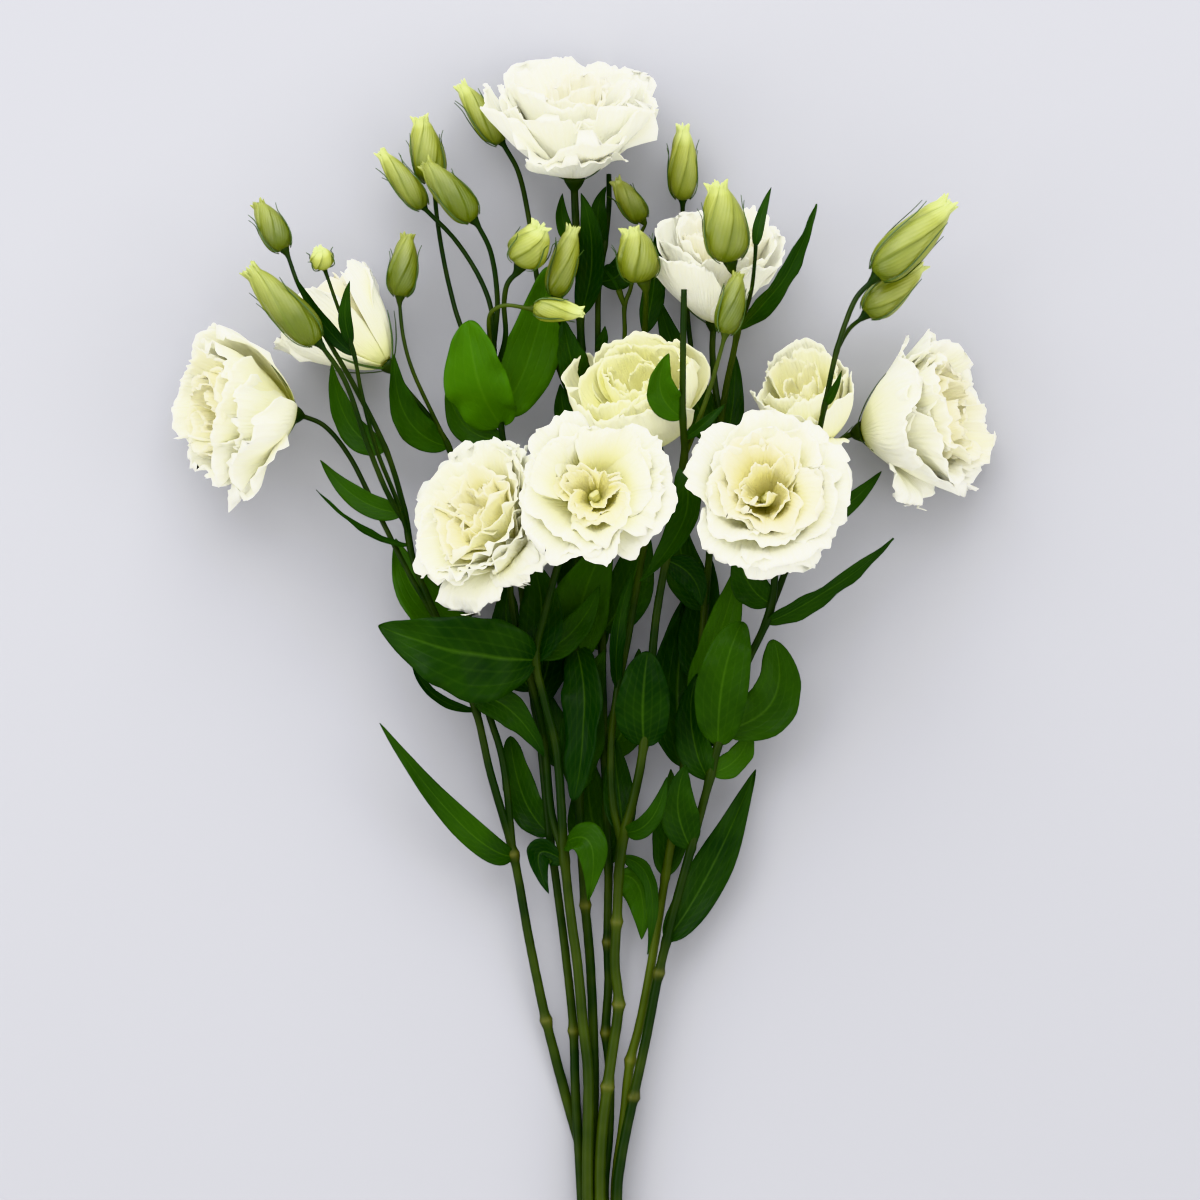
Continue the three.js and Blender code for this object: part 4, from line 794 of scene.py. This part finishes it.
def stalk(bm, shoot):
    path, radii = list(shoot["path"]), list(shoot["radii"])
    flower = seats.get(shoot.get("flower"))
    if flower:
        start, cup = path.pop(), flower["cup"]
        radii.pop()
        rings = CUP_RINGS if "opened" in flower else BUD_RINGS
        path += [start + flower["axis"] * up * cup for up, _ in rings]
        widths = [wide * cup for _, wide in rings]
        radii += [max(widths[0], radii[-1]), *widths[1:]]
    else:
        path.append(path[-1] + (path[-1] - path[-2]) * CAP)
        radii.append(0.0)
    path.insert(0, path[0] - (path[1] - path[0]) * CAP)
    radii.insert(0, 0.0)
    across, sides = Vector((0, 0, -1)), []
    for k, p in enumerate(path):
        way = path[min(k + 1, len(path) - 1)] - path[max(k - 1, 0)]
        way = flower["axis"] if flower and k >= len(path) - len(CUP_RINGS) else way.normalized()
        across = (across - way * across.dot(way)).normalized()
        sides.append((across.copy(), way.cross(across)))

    def place(u, v):
        k = round(v * (len(path) - 1))
        turn = 2 * math.pi * u
        rough = noise.noise(path[k] * 0.25 + Vector((math.cos(turn), math.sin(turn), 0)))
        wide = radii[k] * (1 + ROUGH * rough)
        at = path[k] + (sides[k][0] * math.cos(turn) + sides[k][1] * math.sin(turn)) * wide
        return Vector((at.x, at.y, max(at.z, 0.0)))

    made = sheet(bm, STALK_SIDES, len(path) - 1, place, rolled=True)
    scar, sun = bm.verts.layers.float["scar"], bm.verts.layers.float["sun"]
    for vert in [v for v in made if v.is_valid]:
        vert[scar] = min(swelling(vert.co, shoot["joints"], SCAR_HALF), 1)
        bare = min(max((SHADE_TOP - vert.co.y) / SHADE_FADE, 0), 1)
        vert[sun] = shoot["sun"] * (SUN_LEFT + (1 - SUN_LEFT) * bare)


print("a stalk has", STALK_SIDES, "sides")

# %% [markdown]
# ## Sepals
# Five long thin sepals grow from each calyx. Under a bloom they spread and curl away at the tip, and on a
# bud they lie along its sides and underneath, some of them with the tip standing off, so that the furled
# petals show on top. Each is a narrow folded blade.

# %% One whorl of sepals
BLOOM_SEPAL = (18, 0.15)  # length: a fixed part, and a share of the bloom's radius
BLOOM_BLADE, BUD_BLADE = 1.1, 0.5  # half the width of a blade, millimetres
SEPAL_TURNS = (58, 118, 180, 242, 302)  # degrees from the side that faces the camera, which stays free
SEPAL_FOLD = 0.45  # how far the keel stands out, a share of half the width
SEPAL_ACROSS, SEPAL_ALONG = 4, 12
# How far out each point of a sepal is, and how far up its bloom or bud.
BLOOM_SPINE = [(-0.06, -0.03), (0.10, 0.015), (0.40, 0.12), (0.66, 0.24), (0.84, 0.34)]
BUD_SPINE = [
    (0.50, -0.05), (0.80, 0.03), (0.99, 0.14), (1.05, 0.30), (1.02, 0.46), (0.95, 0.62), (0.93, 0.76),
]


def sepals(bm, name, flower):
    chance = random.Random(name)
    cup, radius, depth = flower["cup"], flower["radius"], flower["depth"]
    bud = "opened" not in flower
    front = math.atan2(flower["y"].z, flower["x"].z)
    for degrees in SEPAL_TURNS:
        turn = front + math.radians(degrees + chance.uniform(-12, 12))
        stretch = chance.uniform(0.86, 1.12)
        if bud:
            knots = [(out * radius + 0.2, up * depth * stretch, 0) for out, up in BUD_SPINE]
            knots[-1] = (knots[-1][0] + chance.uniform(-0.4, 2.6), knots[-1][1], 0)
        else:
            reach = BLOOM_SEPAL[0] + BLOOM_SEPAL[1] * radius
            knots = [(cup + out * reach * stretch, up * depth * stretch, 0) for out, up in BLOOM_SPINE]
        spine = soft_curve(knots, 1.5)
        width = (BUD_BLADE if bud else BLOOM_BLADE) * chance.uniform(0.85, 1.15)
        lean = chance.uniform(-0.25, 0.25)

        def place(u, v):
            at = pick(spine, v)
            half = width * (0.55 + 0.9 * v) * (1 - v) ** 0.8 + 0.12
            side = (u * 2 - 1) * half
            keel = SEPAL_FOLD * half * (1 - abs(u * 2 - 1))
            return around(flower, turn + lean * v + side / max(at.x, 1.0), at.x + keel, at.y)

        sheet(bm, SEPAL_ACROSS, SEPAL_ALONG, place)


print("sepals to a flower:", len(SEPAL_TURNS))

# %% [markdown]
# ## Leaves
# A lisianthus leaf has no stalk of its own: its foot clasps the stem. It is folded up a little along the
# midrib, its edges wave, and its tip is sharp. The outline is a sine that starts fast and ends slowly, and
# seven broad leaves get a blunter one. Rows of quads stand closer at both ends, where the outline turns.

# %% One leaf
LEAF_FOLD = 0.22  # how far the margins rise above the midrib, a share of half the width
LEAF_WAVE, LEAF_CURL, LEAF_BUCKLE = 0.07, 0.03, 0.08  # how far out of flat, as shares of the width
STIFF_WIDTH = 25  # millimetres: the broader a leaf, the less it turns as it bends
LEAF_REST = 0.35  # millimetres above the surface, for the middle of a blade that lies on it
LEAF_ACROSS, LEAF_ALONG = 10, 26
# Painted light and shade on the leaves: how lit each one is painted.
DIM_LEAF = 0.12
SUNNY_LEAVES = {  # how bright each is, and the others get a random value up to DIM_LEAF
    ("s2", 458): 0.64, ("s2", 464): 0.55, ("s5", 460): 0.35, ("s1_right", 350): 0.4, ("s7", 316.5): 0.4,
    ("s2", 450): 0.25, ("s1_right", 447.5): 0.2, ("s1", 445.5): 0.2, ("s1", 414): 0.25, ("s8", 297): 0.24,
    ("s8", 304): 0.22, ("s4", 340): 0.2, ("s8", 282.5): 0.3, ("s3", 247): 0.22, ("s1", 240): 0.14,
    ("s3", 340): 0.08, ("s8", 359): 0.12, ("s7", 505): 0.14, ("s8", 197.5): 0.05, ("s5", 231): 0.22,
}
ROUND_LEAVES = {
    ("s2", 458), ("s2", 464), ("s5", 297.5), ("s8", 304), ("s8", 297), ("s2", 251), ("s4", 346),
}
ROUND, POINTED = (0.82, 0.48), (0.68, 0.78)  # outlines: how near the foot a leaf is widest, and how blunt


def leaf(bm, row):
    shoot, y, bend, tip, width, roll = row
    foot, bend, tip = spot_on(shoot, y), Vector(bend), Vector(tip)
    chance = random.Random(shoot + str(y))
    waves, start = chance.uniform(1.8, 2.8), chance.uniform(0, 6.3)
    early, blunt = ROUND if (shoot, y) in ROUND_LEAVES else POINTED
    seed, stiff = chance.uniform(0, 90), width / STIFF_WIDTH

    def place(u, v):
        v = 0.5 - 0.5 * math.cos(math.pi * v)
        middle = foot * (1 - v) ** 2 + bend * 2 * v * (1 - v) + tip * v**2
        way = ((bend - foot) * (1 - v) + (tip - bend) * v).normalized()
        way = (way + (tip - foot).normalized() * stiff).normalized()
        side = way.cross(Vector((0, 0, 1))).normalized()
        side = side * math.cos(math.radians(roll)) + way.cross(side) * math.sin(math.radians(roll))
        up = side.cross(way)
        s = u * 2 - 1
        half = width / 2 * max(math.sin(math.pi * v**early) ** blunt, 0.15 * (1 - v * 4))
        wave = math.sin(2 * math.pi * waves * v + start) * math.sin(math.pi * v)
        half *= 1 + 0.12 * noise.noise(Vector((v * 3.5, seed, math.copysign(1, s))))
        lift = LEAF_FOLD * half * abs(s) ** 1.4 + LEAF_WAVE * width * wave * s * abs(s)
        lift += LEAF_CURL * width * math.sin(2 * math.pi * (waves + 2.3) * v + start * 2) * s * s
        lift += LEAF_BUCKLE * width * noise.noise(middle * 0.06 + Vector((s, seed, 0)))
        at = middle + side * s * half * 0.97 + up * lift
        return Vector((at.x, at.y, max(at.z, LEAF_REST)))

    sun = SUNNY_LEAVES.get((shoot, y), chance.uniform(0.0, DIM_LEAF))
    sheet(bm, LEAF_ACROSS, LEAF_ALONG, place, sun=sun)


print("faces of a leaf before it gets its thickness:", LEAF_ACROSS * LEAF_ALONG)

# %% Stems with their leaves and sepals
LEAF_THICK = 0.32  # millimetres
SEPAL_THICK = 0.3

for node in sorted({shoot["node"] for shoot in shoots.values()}):
    mine = [name for name, shoot in shoots.items() if shoot["node"] == node]
    bm = new_mesh("sun", "scar")
    for name in mine:
        stalk(bm, shoots[name])
    finish_piece(bm, node + "_stalks", stalk_green, node)
    bm = new_mesh("sun")
    for row in LEAVES:
        if row[0] in mine:
            leaf(bm, row)
    bmesh.ops.remove_doubles(bm, verts=bm.verts, dist=MERGE)
    finish_piece(bm, node + "_leaves", leaf_top, thick=LEAF_THICK, back=leaf_under)
    bm = new_mesh()
    for name, flower in seats.items():
        if flower["shoot"] in mine:
            sepals(bm, name, flower)
    finish_piece(bm, node + "_sepals", sepal_green, thick=SEPAL_THICK)
    print(node, "made with", len(mine), "shoots")

# %% [markdown]
# ## Blooms
# A double lisianthus has some twenty petals about a small hollow heart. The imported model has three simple
# whorls. Here each petal gets a place between the heart and the outside, its own profile between those
# three, its own turn, and ruffles that grow towards its frilled margin. Every new petal is turned by the
# golden angle, as leaves and petals grow, so that no gaps line up. A few outer petals flop outward, where the
# photograph shows one hanging down. In the heart stands the ovary with its pale stigma.

# %% Profiles, as radius and height, shares of the bloom's radius and depth
# Heart, middle and outside, each when the bloom is shut and when it is wide open.
SHUT = [[(0.03, 0.04), (0.09, 0.20), (0.17, 0.50), (0.20, 0.78), (0.11, 0.94)],
        [(0.06, 0.02), (0.24, 0.13), (0.52, 0.46), (0.64, 0.80), (0.54, 1.02)],
        [(0.10, 0.00), (0.32, 0.08), (0.72, 0.34), (0.97, 0.70), (0.86, 1.00)]]
OPEN = [[(0.03, 0.04), (0.06, 0.20), (0.11, 0.48), (0.14, 0.70), (0.18, 0.82)],
        [(0.06, 0.02), (0.20, 0.14), (0.38, 0.48), (0.54, 0.80), (0.74, 0.95)],
        [(0.10, 0.00), (0.30, 0.08), (0.66, 0.34), (0.91, 0.66), (1.08, 0.76)]]
GOLDEN = math.radians(137.5)
# How each bloom differs: how many petals, how ruffled, how green it still is (below 0 where it is a purer
# white than most), and how wide its hollow heart. The third number is partly the bloom's own green and
# partly painted light and shade: it makes some blooms whiter and others creamier and darker.
MOODS = {
    "bloom_1": (23, 1.2, -0.80, 0.00), "bloom_2": (19, 0.6, -0.50, 0.00), "bloom_3": (11, 0.7, 0.05, 0.10),
    "bloom_4": (20, 1.3, 0.30, 0.00), "bloom_5": (27, 1.4, 0.30, 0.00), "bloom_6": (20, 1.2, 0.35, 0.34),
    "bloom_7": (18, 0.6, 1.25, 0.00), "bloom_8": (22, 1.3, 0.10, 0.02), "bloom_9": (15, 0.7, 0.70, 0.03),
    "bloom_10": (26, 1.4, 0.10, 0.00),
}
# Petals that flop outward: which way each one points, with 0 to the left and 90 to the front, and how far.
FLOPPED = {
    "bloom_1": [(88, 0.24)], "bloom_4": [(20, 0.2)], "bloom_5": [(15, 0.35), (70, 0.4), (110, 0.3)],
    "bloom_8": [(92, 0.26), (200, 0.16)], "bloom_9": [(68, 0.35), (96, 0.45)],
    "bloom_10": [(170, 0.35), (215, 0.25)],
}


def profile_of(flower, share, height, flop, chance):
    """A petal's profile in millimetres, with share from 0 in the heart to 1 outside."""
    ring = min(int(share * 2), 1)
    t = share * 2 - ring
    wide, tall = chance.uniform(0.86, 1.06), chance.uniform(0.88, 1.05) * height
    spread = flower["opened"] * min(1, 0.35 + 1.6 * share)
    flop += chance.uniform(0, 0.14) * share**3 * flower["opened"]
    knots = []
    for k in range(len(SHUT[0])):
        r, h = [sum(whorl[ring + m][k][n] * (1 - t if m == 0 else t) * part
                    for whorl, part in ((SHUT, 1 - spread), (OPEN, spread)) for m in (0, 1))
                for n in (0, 1)]
        bend = max(k - 2, 0) / 2  # only the upper half of a petal flops
        knots.append(((r + flop * 0.4 * bend) * flower["radius"] * wide,
                      (h - flop * bend) * flower["depth"] * tall, 0))
    return soft_curve(knots, 1.2)


print("petals in all:", sum(mood[0] for mood in MOODS.values()) + sum(len(rows) for rows in FLOPPED.values()))

# %% One petal
PETAL_ACROSS, PETAL_ALONG = 36, 18
PETAL_REST = 0.3  # millimetres above the surface, for the middle of a petal that touches it
HEART_HALF, OUTER_HALF = 78, 54  # degrees about the axis from a petal's middle to its margin


def petal(bm, flower, share, height, turn, ruffle, young, chance, flop=0.0):
    """A petal, with share from 0 in the heart to 1 outside, and height a share of the full one."""
    spine = profile_of(flower, share, height, flop, chance)
    size = flower["radius"]
    half = math.radians(HEART_HALF - (HEART_HALF - OUTER_HALF) * share) * chance.uniform(0.8, 1.2)
    half *= 1 - 0.6 * min(flop, 0.6)
    fold, phase = chance.uniform(1.4, 2.4), chance.uniform(0, 6.3)
    wrap = (0.22 - 0.16 * share) * chance.choice((-1, 1))
    seed = Vector([chance.uniform(0, 50) for _ in range(3)])
    # How far the margin runs in and out, as shares of the length, how often, and where the noise is read.
    teeth = [(0.13 * ruffle, 1.8, 0), (0.06, 8, 5), (0.035, 21, 9)]

    def place(u, v):
        s = u * 2 - 1
        tooth = sum(far * noise.noise(Vector((s * often, row, 0)) + seed) for far, often, row in teeth)
        t = v * (1 - 0.16 * s * s - 0.12 * s**8 + tooth)
        spot, ahead = pick(spine, t), pick(spine, t + 0.04) - pick(spine, t - 0.04)
        ahead.normalize()
        broad = noise.noise(Vector((s * 1.1, v * 1.3, 1)) + seed)
        ripple = noise.noise(Vector((s * 2.8, v * 1.2, 7)) + seed)
        crimp = noise.noise(Vector((s * 7.0, v * 1.5, 3)) + seed)
        lift = wrap * s * v + 0.24 * broad * v**1.5 + 0.10 * v**5
        roll = 0.05 * math.sin(fold * 3 * s + phase)
        lift += ruffle * ((roll + 0.10 * ripple) * v**4 + 0.08 * crimp * v**8)
        lift *= 0.45 + 0.55 * share
        angle = turn + s * half * (1 - 0.12 * v**4) + 0.10 * ruffle * ripple * v**3
        reach = spot.x + lift * size * ahead.y
        at = around(flower, angle, max(reach, 0.3), spot.y - lift * size * ahead.x + SEAT_GAP)
        return Vector((at.x, at.y, max(at.z, PETAL_REST)))

    sheet(bm, PETAL_ACROSS, PETAL_ALONG, place, inner=min(1.6 * (1 - share) ** 1.3, 1), young=young)


print("faces of a petal before it gets its thickness:", PETAL_ACROSS * PETAL_ALONG)

# %% One bloom
PISTIL = [(0.4, -1), (2.4, 1), (3.0, 4), (2.6, 8), (1.0, 10), (0.8, 12), (1.6, 13), (1.2, 14), (0.0, 14.2)]
STIGMA_FOOT = 12  # millimetres up the ovary, where the style opens into the two lobes of the stigma
PISTIL_SIDES, PISTIL_RINGS = 16, 24
OVARY_GREEN = 2.6  # on the scale that says how green a bloom is
WIDE_HEART = 0.2  # a bloom with a wider heart than this has a tuft of small crumpled petals in it
TUFT, TUFT_RUFFLE = 7, 1.8  # how many petals the tuft has, and how ruffled they are
PETAL_THICK = 0.2  # millimetres


def pistil(bm, flower):
    """The green ovary in the heart of a bloom, with its two-lobed stigma, in millimetres."""
    spine = soft_curve([(r, h, 0) for r, h in PISTIL], 1.0)

    def place(u, v):
        spot = pick(spine, v)
        lobed = 0.5 * min(max((spot.y - STIGMA_FOOT) / 1.5, 0), 1)
        wide = spot.x * (1 + lobed * (0.4 + math.cos(4 * math.pi * u)))
        return around(flower, 2 * math.pi * u, wide, spot.y)

    sheet(bm, PISTIL_SIDES, PISTIL_RINGS, place, rolled=True, inner=1.0, young=OVARY_GREEN)


def bloom(name, flower):
    count, ruffle, young, hollow = MOODS[name]
    chance = random.Random(name)
    bm = new_mesh("inner", "young")
    for k in range(count):
        share = min(1, 0.03 + hollow + (1 - hollow) * (1 - k / (count - 1)))
        height, frill = 1, ruffle
        if hollow > WIDE_HEART and k >= count - TUFT:
            share, height, frill = chance.uniform(0.05, 0.36), chance.uniform(0.55, 0.8), TUFT_RUFFLE
        share = min(max(share + chance.uniform(-0.04, 0.04), 0.02), 1)
        petal(bm, flower, share, height, k * GOLDEN + chance.uniform(-0.3, 0.3), frill, young, chance)
    pistil(bm, flower)
    for turn, flop in FLOPPED.get(name, []):
        petal(bm, flower, 1, 1, math.radians(turn - flower["spin"]), ruffle, young, chance, flop)
    return bm


for name, flower in seats.items():
    if "opened" in flower:
        petals = bloom(name, flower)
        piece = finish_piece(petals, name + "_petals", petal_white, name, thick=PETAL_THICK)
        print(piece.name, len(piece.data.polygons), "faces")

# %% [markdown]
# ## Buds
# A bud is five petals furled round each other, so its section is a saw: each petal's edge lies over the
# next, and the whole is twisted. It is widest a third of the way up, narrows to a neck, and opens in a small
# frilled star about a hollow tip. Some buds in the photograph are riper and paler than others.

# %% One bud
BUD_PROFILE = [  # radius, a share of the bud's, and height, a share of its length
    (0.0, -0.065), (0.34, -0.055), (0.70, 0.02), (0.90, 0.13), (0.97, 0.28), (0.93, 0.46), (0.79, 0.66),
    (0.57, 0.84), (0.42, 0.93), (0.44, 0.985), (0.36, 1.0), (0.22, 0.96), (0.12, 0.90), (0.0, 0.88),
]
BUD_AROUND, BUD_ALONG = 80, 44
STAR_FOOT, STAR_TOP = 0.88, 1.0  # where on a bud its frilled star begins and ends, shares of its length
PALE_BUDS = {  # how ripe and pale each is
    "bud_1": 0.6, "bud_2": 0.5, "bud_3": 0.5, "bud_6": 0.2, "bud_7": 1.0, "bud_9": 0.7, "bud_10": 0.5,
    "bud_11": 1.0, "bud_12": 0.3, "bud_13": 0.8, "bud_14": 0.5, "bud_15": 0.4, "bud_17": 0.7, "bud_18": 0.6,
}


def bud(name, flower):
    bm = new_mesh("pale")
    spine = soft_curve([(r, h, 0) for r, h in BUD_PROFILE], 0.02)
    size, depth = flower["radius"], flower["depth"]
    chance = random.Random(name)
    depth_of_fold, seed = chance.uniform(0.12, 0.22), Vector((0, 0, chance.uniform(0, 50)))

    def place(u, v):
        spot = pick(spine, v)
        fold = ((u - v * BUD_TWIST) * BUD_RIDGES + KEEP_ABOVE) % 1
        body = min(v * 5, 1) * min((1 - v) * 3.2, 1)
        star = max((spot.y - STAR_FOOT) / (STAR_TOP - STAR_FOOT), 0) ** 2
        lobes = math.cos(2 * math.pi * BUD_RIDGES * (u - BUD_TWIST))
        frill = noise.noise(Vector((math.cos(2 * math.pi * u), math.sin(2 * math.pi * u), 0)) * 6 + seed)
        wide = spot.x * (1 + depth_of_fold * body * (fold**0.8 - 0.6)) + star * (0.05 * lobes + 0.24 * frill)
        tall = spot.y + star * (0.015 * lobes + 0.07 * frill)
        return around(flower, 2 * math.pi * u, wide * size, tall * depth + SEAT_GAP)

    sheet(bm, BUD_AROUND, BUD_ALONG, place, rolled=True, pale=PALE_BUDS.get(name, 0.0))
    return bm


for name, flower in seats.items():
    if "opened" not in flower:
        finish_piece(bud(name, flower), name + "_furled", bud_green, name)
print("buds:", len(BUDS))

# %% [markdown]
# ## Floor and light
# The surface is plain and pale, a little lavender like the backdrop of the photograph. The light is a big
# soft lamp beyond the top of the bunch, a weaker one on each side, and a strong even sky that keeps the
# shadows between the petals light. The view transform is the one that keeps the colours of things as they
# are, because a film-like one turns white petals grey.

# %% Floor
FLOOR_COLOUR = (0.345, 0.350, 0.389, 1)
FLOOR_HALF = 6  # metres from its middle to its edge

bm = bmesh.new()
bmesh.ops.create_grid(bm, x_segments=1, y_segments=1, size=FLOOR_HALF)
mesh = bpy.data.meshes.new("floor")
bm.to_mesh(mesh)
bm.free()
floor = bpy.data.objects.new("floor", mesh)
bpy.context.scene.collection.objects.link(floor)
mesh.materials.append(Paint("floor_paint", Roughness=0.9, Base_Color=FLOOR_COLOUR).material)
print("floor:", 2 * FLOOR_HALF, "metres wide")

# %% Lights
SKY_COLOUR = (0.97, 0.95, 0.90, 1)
SKY_STRENGTH = 1.4
LAMP_AIM = Vector((0, 0.05, 0))


def lamp(name, place, size, power):
    """A square soft lamp, with its place and size in metres and its power in watts."""
    data = bpy.data.lights.new(name, "AREA")
    data.size = size
    data.energy = power
    made = bpy.data.objects.new(name, data)
    made.location = place
    made.rotation_euler = (LAMP_AIM - Vector(place)).to_track_quat("-Z", "Y").to_euler()
    bpy.context.scene.collection.objects.link(made)


lamp("key", (-0.3, 1.7, 1.6), 2.6, 70)
lamp("left", (-2.0, -0.2, 1.5), 1.6, 16)
lamp("right", (2.0, -0.4, 1.6), 1.6, 14)
world = bpy.data.worlds.new("sky")
world.use_nodes = True
background = world.node_tree.nodes["Background"]
background.inputs["Color"].default_value = SKY_COLOUR
background.inputs["Strength"].default_value = SKY_STRENGTH
bpy.context.scene.world = world
bpy.context.scene.view_settings.view_transform = "Khronos PBR Neutral"
print("lamps:", len(bpy.data.lights))
